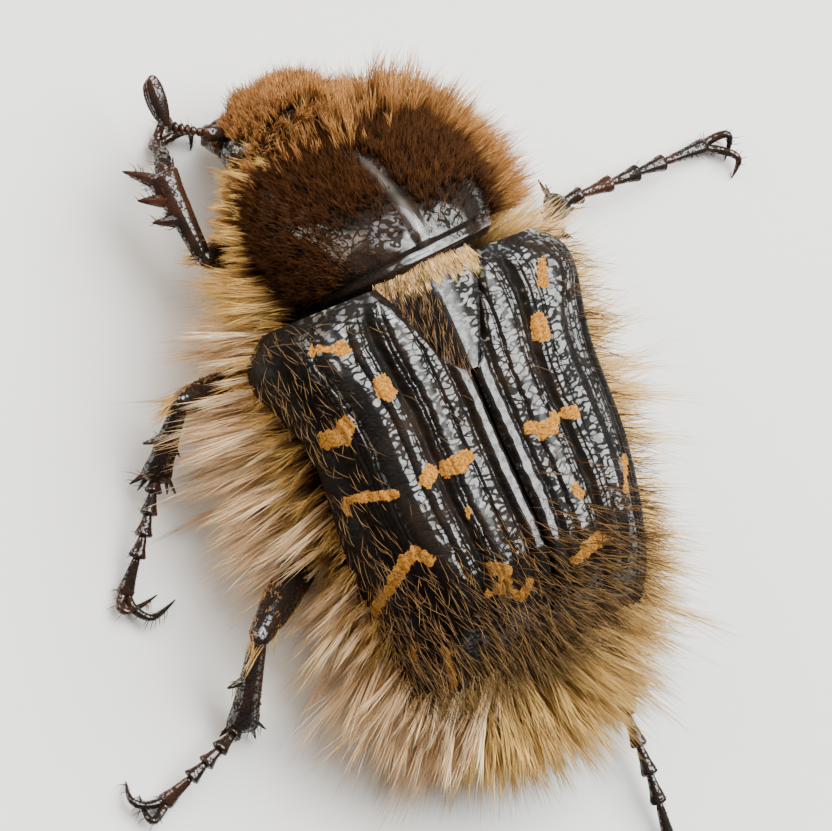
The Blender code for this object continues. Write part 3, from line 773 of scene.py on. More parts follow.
ELYTRA_FRONT = 1.6
ELYTRA_END = -5.1
SCUTELLUM_TIP = -0.2
SCUTELLUM_HALF = 0.9
ELYTRA: Stations = (
    (1.60, 2.42, 3.98, 2.65, 2.20),
    (1.25, 2.78, 4.08, 2.62, 2.05),
    (0.80, 2.86, 4.13, 2.58, 2.05),
    (0.30, 2.74, 4.15, 2.66, 2.35),
    (-0.40, 2.57, 4.16, 2.76, 2.62),
    (-1.20, 2.55, 4.19, 2.70, 2.56),
    (-2.00, 2.54, 4.27, 2.55, 2.30),
    (-2.70, 2.45, 4.34, 2.40, 1.92),
    (-3.30, 2.35, 4.28, 2.28, 1.62),
    (-3.80, 2.28, 4.00, 2.20, 1.50),
    (-4.30, 2.23, 3.42, 2.08, 1.42),
    (-4.75, 2.18, 2.55, 1.85, 1.34),
    (-5.10, 2.06, 1.75, 1.40, 1.25),
)
PROTHORAX: Stations = (
    (-0.06, 1.52, 3.96, 2.65, 1.55),
    (0.30, 1.84, 4.05, 2.52, 1.20),
    (0.80, 1.95, 3.92, 2.32, 0.98),
    (1.35, 1.98, 3.60, 2.12, 0.92),
    (1.90, 1.84, 3.12, 1.98, 0.98),
    (2.35, 1.52, 2.62, 1.88, 1.15),
    (2.70, 1.12, 2.20, 1.78, 1.38),
)
HIND_BODY: Stations = (
    (1.95, 1.40, 2.90, 1.80, 0.95),
    (1.65, 1.76, 3.20, 1.70, 0.80),
    (1.10, 2.24, 3.40, 1.60, 0.45),
    (0.20, 2.34, 3.44, 1.55, 0.33),
    (-0.90, 2.30, 3.46, 1.55, 0.33),
    (-2.00, 2.24, 3.50, 1.55, 0.36),
    (-3.00, 2.12, 3.42, 1.55, 0.38),
    (-3.60, 2.02, 3.10, 1.55, 0.44),
    (-4.20, 1.86, 2.45, 1.50, 0.56),
    (-4.80, 1.58, 1.80, 1.35, 0.72),
    (-5.20, 1.28, 1.52, 1.15, 0.68),
    (-5.48, 0.98, 1.40, 1.10, 0.74),
    (-5.64, 0.60, 1.26, 1.06, 0.84),
    (-5.70, 0.20, 1.12, 1.03, 0.95),
)
HEAD: Stations = (
    (-0.15, 0.62, 0.34, 0.0, -0.48),
    (0.25, 0.90, 0.40, 0.0, -0.62),
    (0.75, 0.88, 0.40, 0.0, -0.60),
    (1.05, 0.72, 0.34, 0.0, -0.48),
    (1.45, 0.70, 0.26, 0.0, -0.32),
    (1.84, 0.62, 0.22, 0.0, -0.24),
)
PROTHORAX_PLACE = Matrix.Translation((0.13, 1.74, 0)) @ Matrix.Rotation(math.radians(4), 4, "Z")
HEAD_PLACE = (
    Matrix.Translation((-0.56, 4.50, 2.14))
    @ Matrix.Rotation(math.radians(17), 4, "Z")
    @ Matrix.Rotation(math.radians(-72), 4, "X")
)


def scutellum_half(y: Array) -> Array:
    """Gives half the width of the scutellum at each place along."""
    share = (y - SCUTELLUM_TIP) / (ELYTRA_FRONT - SCUTELLUM_TIP)
    return SCUTELLUM_HALF * np.clip(share, 0, 1) ** 0.85


@dataclass(frozen=True)
class Spot:
    """An ochre spot of down: a line over a wing case, in X and Y, and half its width."""

    path: tuple[tuple[float, float], ...]
    half: float


LEFT_SPOTS = (
    Spot(((-2.22, 1.04), (-2.02, 0.96), (-1.84, 0.90)), 0.13),
    Spot(((-1.47, 0.15), (-1.45, 0.06)), 0.18),
    Spot(((-2.46, -0.33), (-2.30, -0.36), (-2.22, -0.24)), 0.17),
    Spot(((-1.43, -1.50), (-1.30, -1.40), (-1.10, -1.47), (-0.86, -1.42), (-0.68, -1.40)), 0.13),
    Spot(((-1.10, -1.40), (-0.84, -1.52)), 0.12),
    Spot(((-2.50, -1.50), (-2.47, -1.34), (-2.26, -1.40), (-1.93, -1.52)), 0.085),
    Spot(((-2.38, -3.16), (-2.30, -2.86), (-2.12, -2.57), (-1.96, -2.50), (-1.84, -2.68)), 0.115),
    Spot(((-1.02, -2.18), (-1.06, -2.28)), 0.06),
    Spot(((-1.02, -3.17), (-0.82, -3.30), (-0.87, -3.56), (-1.10, -3.56)), 0.11),
    Spot(((-0.76, -3.68), (-0.60, -3.80), (-0.46, -3.62)), 0.09),
    Spot(((-1.87, -4.12), (-1.72, -4.52), (-1.54, -4.93)), 0.075),
    Spot(((-2.19, -3.90), (-2.18, -4.08)), 0.07),
)
RIGHT_SPOTS = (
    Spot(((1.93, 1.02), (1.86, 0.88), (1.80, 0.70)), 0.10),
    Spot(((1.45, 0.14), (1.40, -0.02)), 0.17),
    Spot(((0.52, -1.36), (0.74, -1.46), (0.92, -1.44), (1.14, -1.32), (1.40, -1.40)), 0.12),
    Spot(((0.66, -1.52), (0.88, -1.50)), 0.12),
    Spot(((0.83, -2.55), (0.85, -2.61)), 0.12),
    Spot(((2.06, -2.44), (1.90, -2.62), (1.78, -2.82)), 0.12),
    Spot(((0.42, -3.60), (0.60, -3.54)), 0.10),
    Spot(((0.66, -3.46), (0.86, -3.42), (1.04, -3.50)), 0.14),
    Spot(((0.92, -4.98), (1.17, -4.90), (1.40, -4.92)), 0.10),
    Spot(((0.05, -5.05), (0.30, -5.05)), 0.09),
)


@dataclass
class Elytron:
    """A wing case: costae, engraved striae and wrinkles outside, with its own ochre spots."""

    side: Side
    columns: int = 150
    rows: int = 240
    thickness: float = 0.14
    suture_gap: float = 0.02
    rim_share: float = 0.92
    rim_tuck: float = 0.07
    crowding: float = 0.22
    outer_corner: float = 0.35
    inner_corner: float = 0.10
    waver_by: tuple[float, float] = (0.011, 0.012)
    swell: float = 0.004
    spot_rise: float = 0.012
    groove_depth: float = 0.10
    groove_half: float = 0.10
    # Share of the half width from which the flank has painted shade
    painted_shade_from: float = 0.76
    knob_share: float = 0.80
    knob_at: float = 0.80
    knob_height: float = 0.13
    # Smooth ridges: place as a share of the half width, height, half width
    costae: Stations = (
        (0.072, 0.045, 0.048), (0.315, 0.022, 0.050), (0.70, 0.040, 0.055), (0.95, 0.03, 0.03)
    )
    # How smooth the shell is on each of the first ridges. The last one is as wrinkled as the rest
    evenness: tuple[float, ...] = (0.9, 0.5, 0.4)
    # Engraved lines: place, depth, half width
    striae: Stations = (
        (0.0, 0.08, 0.025), (0.140, 0.06, 0.024), (0.245, 0.03, 0.008), (0.375, 0.035, 0.009),
        (0.405, 0.035, 0.009), (0.465, 0.13, 0.042), (0.53, 0.03, 0.009), (0.60, 0.03, 0.009),
        (0.79, 0.035, 0.012), (0.84, 0.035, 0.012), (0.89, 0.03, 0.012),
    )
    full_line: float = 0.06  # depth from which a line is fully dark
    deep_line: float = 0.10  # depth past which it is dark without a break

    @property
    def spots(self) -> tuple[Spot, ...]:
        """The ochre spots of this side."""
        return LEFT_SPOTS if self.side is Side.LEFT else RIGHT_SPOTS

    def inner_edge(self, y: Array) -> Array:
        """Gives how far the inner edge lies from the middle at each place along."""
        return scutellum_half(y) + self.suture_gap

    def section(self, u: Array, y: Array) -> tuple[Array, Array, Array]:
        """Lays out one section evenly along its outline.

        Args:
            u: Shares across, from the inner edge to the rim.
            y: Places along.

        Returns:
            X as a share of the half width, the rise as a share of the height, and the rim's share.
        """
        angles = np.linspace(math.pi / 2, 0, 400)
        square = 2 / SIDE_POWER
        outline = np.stack([np.cos(angles) ** square, 0.7 * np.sin(angles) ** square])
        steps = np.linalg.norm(np.diff(outline, axis=1), axis=0)
        lengths = np.concatenate([[0], np.cumsum(steps)]) / steps.sum()
        half = smooth(ELYTRA, y)[0]
        start = np.interp(self.inner_edge(y) / half, outline[0], lengths)
        even = np.clip(u / self.rim_share, 0, 1)
        crowded = (1 - self.crowding) * even + self.crowding * even**3
        place = start + (1 - start) * crowded
        angle = np.interp(place, lengths, angles)
        rim = np.clip((u - self.rim_share) / (1 - self.rim_share), 0, 1)
        return np.cos(angle) ** square, np.sin(angle) ** square, rim

    def along(self, u: Array, v: Array) -> Array:
        """Gives Y for shares across and along, with the two corners of the tip rounded."""
        end = ELYTRA_END + self.outer_corner * u**7 + self.inner_corner * (1 - u) ** 8
        return ELYTRA_FRONT + (end - ELYTRA_FRONT) * v

    def flat_places(self, share: Array, y: Array, shift: float) -> Array:
        """Gives places for noise over the flattened wing case, other ones than the other side's."""
        return np.stack([share * 2.5, y, np.full_like(y, shift * self.side.value)], axis=-1)

    def waver(self, share: Array, y: Array) -> Array:
        """Shifts shares across a little, so that ridges and lines run unevenly."""
        places = self.flat_places(share, y, 5.0)
        fine, broad = self.waver_by
        near = share + fine * grain(places, (0.12, 0.17, 1.0), 3.0)
        return near + broad * grain(places, (0.5, 0.9, 1.0), 8.0)

    def beside_scutellum(self, share: Array, y: Array) -> Array:
        """Gives how far each place lies in the groove along the scutellum, from 0 to 1."""
        gap = share * smooth(ELYTRA, y)[0] - self.inner_edge(y)
        return bell(gap / self.groove_half) * ease((y - SCUTELLUM_TIP) / 0.3)

    def smooth_share(self, share: Array, y: Array) -> Array:
        """Gives how smooth the shell is, from 0 on the wrinkled bands to 1 on the ridges."""
        fade = ease((y + 4.6) / 2.4)
        found = np.zeros_like(share)
        for (place, _, width), most in zip(self.costae, self.evenness):
            found = np.maximum(found, most * bell((share - place) / (width * 0.75), power=4))
        return found * fade

    def sunk_share(self, share: Array, y: Array) -> Array:
        """Gives how far each place lies in a groove, from 0 to 1."""
        found = np.zeros_like(share)
        places = self.flat_places(share, y, 9.0)
        broken = np.clip(0.62 + 0.9 * grain(places, (0.25, 0.22, 1.0), 51.0), 0.0, 1.0)
        for place, depth, width in self.striae:
            dark = 1.0 if depth > self.deep_line else min(depth / self.full_line, 1.0) * broken
            found = np.maximum(found, dark * bell((share - place) / width))
        return np.maximum(found, self.beside_scutellum(share, y))

    def relief(self, share: Array, y: Array) -> Array:
        """Gives the height of ridges and engraved lines at shares across and places along."""
        fade = ease((ELYTRA_FRONT - y) / 0.7) * ease((y - ELYTRA_END) / 1.2)
        height = np.zeros_like(share)
        for place, rise, width in self.costae:
            height += rise * bell((share - place) / (1.15 * width), power=4)
        for place, depth, width in self.striae:
            height -= depth * bell((share - place) / width)
        groove = self.groove_depth * self.beside_scutellum(share, y)
        return height * fade - groove + self.callus(share, y)

    def callus(self, share: Array, y: Array) -> Array:
        """Gives the height of the blunt knob at the shoulder."""
        aside, ahead = (share - self.knob_share) / 0.10, (y - self.knob_at) / 0.40
        return self.knob_height * bell(aside, ahead)

    def surface(self, u: Array, v: Array) -> Array:
        """Gives places on the outer face for shares across and along."""
        y = self.along(u, v)
        half, top, level, low = smooth(ELYTRA, y)
        share, rise, rim = self.section(u, y)
        steeper = SIDE_POWER - 1
        tilt = [share**steeper / half, 0 * share, rise**steeper / (top - level)]
        away = unit(np.stack(tilt, axis=-1))
        x = half * share - self.rim_tuck * rim**2
        z = level + (top - level) * rise - (level - low) * rim
        mirror = [self.side.value, 1, 1]
        places = np.stack([x, y, z], axis=-1)
        inside = self.spot(places * mirror)
        uneven = self.swell * grain(places * mirror, (0.16, 0.10, 0.16), 31.0)
        height = self.relief(self.waver(share, y), y) + uneven * (1 - rim)
        height += self.spot_rise * ease(inside * 2)
        return (places + away * height[:, None]) * mirror

    def spot(self, places: Array) -> Array:
        """Gives how deep each place lies in a spot, from 0 at its edge to 1 in the middle."""
        ragged = 0.30 * grain(places, 0.10, 11.0) + 0.25 * grain(places, 0.045, 17.0)
        deep = np.full(len(places), -1.0)
        for spot in self.spots:
            path = np.array(spot.path)
            half, top, level, _ = smooth(ELYTRA, path[:, 1])
            rise = np.clip(1 - (np.abs(path[:, 0]) / half) ** SIDE_POWER, 0, 1) ** (1 / SIDE_POWER)
            nodes = np.column_stack([path, level + (top - level) * rise])
            for first, last in zip(nodes, nodes[1:]):
                line = last - first
                share = np.clip((places - first) @ line / max(line @ line, 1e-9), 0, 1)
                gap = np.linalg.norm(places - first - share[:, None] * line, axis=1)
                deep = np.maximum(deep, 1 - gap / spot.half)
        return np.clip(deep + ragged + 0.12, 0, 1)

    def build(self) -> Piece:
        """Builds the wing case with its thickness, marks and finish.

        Returns:
            The finished piece.
        """
        word = self.side.word
        piece = Bench.sheet(f"elytron_{word}_shell", self.columns, self.rows, self.surface)
        places = Bench.points(piece) / MM
        y = places[:, 1]
        share = np.abs(places[:, 0]) / smooth(ELYTRA, y)[0]
        # Painted shade: the outer flank and the rear are darkened and lose their gloss, all but the
        # shoulder knob
        knob = self.callus(share, y) / self.knob_height
        flank = ease((share - self.painted_shade_from - 0.03 * y) / 0.10) * (1 - ease((knob - 0.45) / 0.3))
        hind = 0.85 * ease((-3.1 - y) / 1.5)
        share = self.waver(share, y)
        Bench.mark(piece, "spot", self.spot(places))
        Bench.mark(piece, "ridge", self.smooth_share(share, y))
        Bench.mark(piece, "sunk", self.sunk_share(share, y))
        Bench.mark(piece, "painted_shade", np.maximum(flank, hind))
        if self.side is Side.RIGHT:
            piece.data.flip_normals()
        Bench.modify(piece, "SOLIDIFY", thickness=self.thickness * MM, offset=-1.0, use_rim=True)
        return Bench.finish(piece, WING_CASE.material(), f"elytron_{word}", crease=70)


@dataclass
class Scutellum:
    """The plate between the wing cases: crowned, bright at the right, painted shade on the left
    slope.
    """

    columns: int = 60
    rows: int = 80
    thickness: float = 0.2
    crown: float = 0.12
    sunk: float = 0.09
    front_at: float = ELYTRA_FRONT + 0.12
    tip_at: float = SCUTELLUM_TIP + 0.06

    def half(self, y: Array) -> Array:
        """Gives half the plate's width at each place along."""
        return scutellum_half(y) * 0.93 + 0.05

    def surface(self, u: Array, v: Array) -> Array:
        """Gives places on the plate's upper face for shares across and along."""
        y = self.front_at + (self.tip_at - self.front_at) * v
        x = (2 * u - 1) * self.half(y)
        side = np.abs(x / 0.8)
        fall = np.where(x > 0, 0.09 * side**2, 0.22 * side**1.1)
        return np.stack([x, y, smooth(ELYTRA, y)[1] - self.sunk + self.crown - fall], axis=-1)

    def build(self) -> Piece:
        """Builds the plate.

        Returns:
            The finished piece.
        """
        piece = Bench.sheet("scutellum_shell", self.columns, self.rows, self.surface)
        piece.data.flip_normals()
        x, y, _ = Bench.points(piece).T / MM
        edge = np.abs(x) / self.half(y)
        beside = np.maximum(ease((-0.04 - x) / 0.08), ease((edge - 0.82) / 0.08))
        Bench.mark(piece, "sunk", 0.95 * beside)
        # Painted shade: the left slope and the edges are darkened and lose their gloss
        Bench.mark(piece, "painted_shade", 0.8 * beside)
        Bench.mark(piece, "ridge", (0.74 - 0.46 * ease((x - 0.10) / 0.22)) * (1 - beside))
        Bench.modify(piece, "SOLIDIFY", thickness=self.thickness * MM, offset=-1.0, use_rim=True)
        return Bench.finish(piece, WING_CASE.material(), "scutellum", crease=60)


@dataclass
class Prothorax:
    """The fore body: the punctured shield with its keel and hind rim, over the neck and hips."""

    keel_height: float = 0.06
    keel_half: float = 0.045
    rim_height: float = 0.04
    rim_at: float = 0.05
    furrow_depth: float = 0.03
    furrow_at: float = 0.19
    dent_depth: float = 0.05
    girth: float = 1.6  # millimetres across for each radian off the keel

    def relief(self, y: Array, angle: Array) -> Array:
        """Gives the height of the keel, the raised hind rim and the two dents beside the keel."""
        turn = np.mod(angle, TAU)
        off = turn - math.pi / 2
        along = ease((y - 0.1) / 0.4) * ease((2.5 - y) / 0.6)
        keel = self.keel_height * bell(off / self.keel_half) * along
        upper = ease(np.sin(turn) / 0.3)
        rim = self.rim_height * bell((y - self.rim_at) / 0.06) * upper
        furrow = -self.furrow_depth * bell((y - self.furrow_at) / 0.06) * upper
        dent = -self.dent_depth * bell((np.abs(off) - 0.42) / 0.2, (y - 1.4) / 0.6)
        return keel + rim + furrow + dent

    def ridge(self, across: Array, y: Array) -> Array:
        """Gives how smooth the shield is: the hind rim, and the keel that widens to the rim."""
        half = 0.045 + 0.36 * bell((y - 0.1) / 0.42)
        keel = bell(across / half, power=4) * ease((2.3 - y) / 0.7)
        rim = 0.15 + 0.75 * ease((0.5 - across) / 0.3)
        return np.maximum(keel, rim * bell((y - self.rim_at) / 0.055, power=4))

    def painted_highlight(self, across: Array, y: Array) -> Array:
        """Gives the painted highlight: a pale, bare line along the keel, up to the shield's front.
        """
        return bell(across / 0.032) * ease((2.25 - y) / 0.9) * ease((y - 0.1) / 0.3)

    def build(self) -> Piece:
        """Builds the fore body.

        Returns:
            The finished piece.
        """
        hull = Hull(PROTHORAX, PROTHORAX_PLACE)
        marks: dict[str, Array] = {}

        def relief(y: Array, angle: Array) -> Array:
            """Gives the relief, and keeps the marks of the same places."""
            turn = np.mod(angle, TAU)
            across = self.girth * (turn - math.pi / 2)
            marks["ridge"] = self.ridge(across, y)
            # Painted shade: the lower sides are darkened and lose their gloss
            marks["painted_shade"] = ease((0.45 - np.sin(turn)) / 0.3)
            # Painted highlight: a thin pale line along the keel
            marks["painted_highlight"] = self.painted_highlight(across, y)
            return self.relief(y, angle)

        piece = hull.globe("prothorax_shell", 220, 130, relief)
        for name, values in marks.items():
            Bench.mark(piece, name, values)
        return Bench.finish(piece, SHIELD.material(), "prothorax", crease=60)


@dataclass
class HindBody:
    """The breast, belly and tail plate under the wing cases, as one skin."""

    plates: tuple[float, ...] = (-0.55, -2.0, -2.62, -3.2, -3.78, -4.36, -4.9)
    plate_step: float = 0.06
    swell: float = 0.01
    bone: Triple = (1.3, 1.5, 0.9)
    bone_bevel: float = 0.26

    def relief(self, y: Array, angle: Array) -> Array:
        """Gives the steps between the plates of the belly, and a fine uneven swell."""
        below = ease(-np.sin(angle) / 0.2 + 0.5)
        height = np.zeros_like(y)
        for edge in self.plates:
            height -= self.plate_step * bell((y - edge) / 0.05) * below
        return height + self.swell * np.sin(angle * 9) * np.sin(y * 7)

    def build(self) -> Piece:
        """Builds the skin and its breastbone.

        Returns:
            The finished piece.
        """
        skin = Hull(HIND_BODY).globe("hind_body_shell", 120, 150, self.relief)
        Bench.deselect()
        bpy.ops.mesh.primitive_cube_add(size=1)
        bone = bpy.context.active_object
        bpy.ops.object.mode_set(mode="EDIT")
        bpy.ops.mesh.select_all(action="SELECT")
        bpy.ops.transform.resize(value=self.bone)
        bpy.ops.mesh.bevel(offset=self.bone_bevel, segments=4, affect="EDGES")
        bpy.ops.object.mode_set(mode="OBJECT")
        Bench.put(bone, Matrix.Translation((0, 0, self.bone[2] / 2)))
        piece = Bench.join("hind_body_shell", [skin, bone])
        return Bench.finish(piece, BREAST.material(), "thorax", "abdomen", "pygidium", crease=50)


@dataclass
class Head:
    """The lowered head: its brow, the notched clypeus, eyes, feelers and palps."""

    eye_radius: float = 0.34
    eye_narrow: float = 0.92
    eye_at: Triple = (0.76, 0.42, 0.02)
    margin_height: float = 0.07
    notch_depth: float = 0.10
    beads: int = 6
    leaf_thick: float = 0.07
    leaf_wide: float = 0.17
    leaf_gap: float = 0.11
    palp_path: tuple[Triple, ...] = (
        (0.42, 1.1, -0.45), (0.56, 1.3, -0.72), (0.64, 1.5, -0.80), (0.58, 1.86, -0.66)
    )
    palp_radii: tuple[float, ...] = (0.06, 0.10, 0.12, 0.05)

    def relief(self, y: Array, angle: Array) -> Array:
        """Gives the raised margin of the clypeus and the notch in its front."""
        margin = self.margin_height * bell((y - 1.76) / 0.07) * ease(np.sin(angle) / 0.2)
        off = np.mod(angle, TAU) - math.pi / 2
        return margin - self.notch_depth * bell(off / 0.25) * ease((y - 1.5) / 0.3)

    def build(self) -> list[Piece]:
        """Builds the head and all that it carries.

        Returns:
            The head's own shell first, then the other pieces.
        """
        shell = Hull(HEAD, HEAD_PLACE).globe("head_shell", 96, 64, self.relief)
        pieces = [Bench.finish(shell, HEAD_SHELL.material(), "head", crease=60)]
        for side in Side:
            pieces.append(self.eye(side))
            pieces += self.feeler(side)
            pieces.append(self.palp(side))
        return pieces

    def eye(self, side: Side) -> Piece:
        """Builds one faceted eye.

        Args:
            side: The side it is on.

        Returns:
            The finished piece.
        """
        x, y, z = self.eye_at

        def shape(share: Array, angle: Array) -> Array:
            """Gives places on the ball of the eye."""
            polar = share * math.pi
            out = np.sin(polar)
            ball = [out * np.cos(angle) * self.eye_narrow, np.cos(polar), out * np.sin(angle)]
            local = np.stack(ball, axis=-1) * self.eye_radius + [side.value * x, y, z]
            return moved(local, HEAD_PLACE)

        piece = Bench.globe(f"eye_{side.word}_facets", 48, 32, shape)
        return Bench.finish(piece, EYE.material(), f"eye_{side.word}")

    def feeler_points(self, side: Side) -> tuple[Vector, Vector, Vector]:
        """Gives a feeler's root, elbow and club tip, the left held out, the right tucked in."""
        root = HEAD_PLACE @ Vector((side.value * 0.62, 0.76, 0.30))
        if side is Side.LEFT:
            return root, Vector((-2.29, 5.32, 1.60)), Vector((-2.32, 6.10, 1.76))
        return root, Vector((0.42, 5.10, 1.05)), Vector((0.80, 4.78, 0.50))

    def feeler(self, side: Side) -> list[Piece]:
        """Builds one feeler: a thick scape, six bead-like joints and a club of three leaves.

        Args:
            side: The side it is on.

        Returns:
            The stalk and the club.
        """
        root, elbow, tip = self.feeler_points(side)
        along = elbow - root
        way = along.normalized()
        turn = along.to_track_quat("Z", "Y").to_matrix().to_4x4()
        length = along.length
        stalk = [Bench.limb("scape", (
            (0, 0.08, 0.08), (0.10, 0.13, 0.12), (length * 0.34, 0.17, 0.15),
            (length * 0.42, 0.12, 0.11), (length * 0.44, 0.06, 0.06),
        ), Matrix.Translation(root) @ turn, levels=1)]
        for i in range(self.beads):
            start = length * (0.42 + 0.098 * i)
            wide = 0.085 + 0.008 * i
            high = wide * 0.9
            stalk.append(Bench.limb("bead", (
                (0, 0.04, 0.04), (0.03, wide, high), (length * 0.07, wide, high),
                (length * 0.10, 0.04, 0.04),
            ), Matrix.Translation(root + way * start) @ turn, sides=10, levels=1))
        joined = Bench.join(f"antenna_stalk_{side.word}_joints", stalk)
        pieces = [Bench.finish(joined, LIMB.material(), f"antenna_stalk_{side.word}")]
        reach = tip - elbow
        place = Matrix.Translation(elbow) @ reach.to_track_quat("Z", "X").to_matrix().to_4x4()
        thick, wide = self.leaf_thick, self.leaf_wide
        leaves = []
        for i in range(3):
            stretch = reach.length * (1.0 + 0.06 * i)
            shift = self.leaf_gap * (i - 1)
            tilt = Matrix.Rotation(shift * 0.5, 4, "Y")
            leaves.append(Bench.limb("leaf", (
                (0, 0.03, 0.04), (stretch * 0.15, thick, wide * 0.6),
                (stretch * 0.5, thick * 1.1, wide), (stretch * 0.85, thick, wide * 0.85),
                (stretch, 0.025, 0.06),
            ), place @ Matrix.Translation((shift * 0.6, 0, 0)) @ tilt, sides=12))
        club = Bench.join(f"antenna_club_{side.word}_leaves", leaves)
        pieces.append(Bench.finish(club, LIMB.material(), f"antenna_club_{side.word}"))
        return pieces

    def palp(self, side: Side) -> Piece:
        """Builds one palp at the mouth.

        Args:
            side: The side it is on.

        Returns:
            The finished piece.
        """
        path = [HEAD_PLACE @ Vector((side.value * x, y, z)) for x, y, z in self.palp_path]
        piece = Bench.rod(f"palp_{side.word}_joints", path, list(self.palp_radii))
        return Bench.finish(piece, LIMB.material(), f"palp_{side.word}")


class LegKind(Enum):
    """The three pairs of legs, which differ in their shins."""

    FRONT = "front"
    MIDDLE = "middle"
    HIND = "hind"


# Teeth and spurs of each shin: place along, share outwards, share forwards, reach, radius
TEETH: dict[LegKind, Stations] = {
    LegKind.FRONT: (
        (0.50, 1.0, 0.35, 0.42, 0.12), (0.74, 1.0, 0.45, 0.50, 0.13), (0.96, 0.9, 0.8, 0.62, 0.13),
        (0.92, -0.6, 1.0, 0.36, 0.05),
    ),
    LegKind.MIDDLE: (
        (0.52, 1.0, 0.5, 0.32, 0.08), (0.95, 0.8, 0.9, 0.42, 0.07), (0.97, 0.3, 1.0, 0.40, 0.06),
        (0.95, -0.8, 1.0, 0.52, 0.05), (0.94, -0.45, 1.1, 0.46, 0.05),
        (0.60, -0.8, 0.8, 0.26, 0.05),
    ),
    LegKind.HIND: (
        (0.48, 1.0, 0.5, 0.30, 0.08), (0.95, 0.8, 1.0, 0.40, 0.07), (0.97, -0.4, 1.1, 0.46, 0.06),
        (0.94, -0.9, 0.9, 0.44, 0.05), (0.70, -0.7, 0.9, 0.24, 0.04),
    ),
}
# Profiles along each segment: place as a share, then half width and half height. Those of the
# hip are in millimetres, and the others are shares of the segment's own half width
COXA: Stations = (
    (-0.05, 0.2, 0.2), (0.1, 0.36, 0.34), (0.5, 0.42, 0.4), (0.85, 0.34, 0.32), (1.0, 0.18, 0.18)
)
FEMUR: Stations = (
    (-0.02, 0.4, 0.4), (0.06, 0.8, 0.7), (0.35, 1.08, 0.8), (0.7, 1.0, 0.74), (0.93, 0.72, 0.6),
    (1.03, 0.4, 0.36),
)
TIBIA: Stations = (
    (-0.05, 0.35, 0.35), (0.03, 0.7, 0.6), (0.25, 0.72, 0.6), (0.55, 0.95, 0.7),
    (0.75, 0.98, 0.72), (0.96, 1.3, 0.9), (1.0, 1.1, 0.75),
)
TARSUS_JOINT: Stations = (
    (-0.04, 0.35, 0.35), (0.05, 0.55, 0.5), (0.55, 0.72, 0.66), (0.86, 1.12, 0.95),
    (0.97, 1.1, 0.9), (1.02, 0.5, 0.45),
)
CLAW_RADII = (0.07, 0.08, 0.065, 0.042, 0.008)


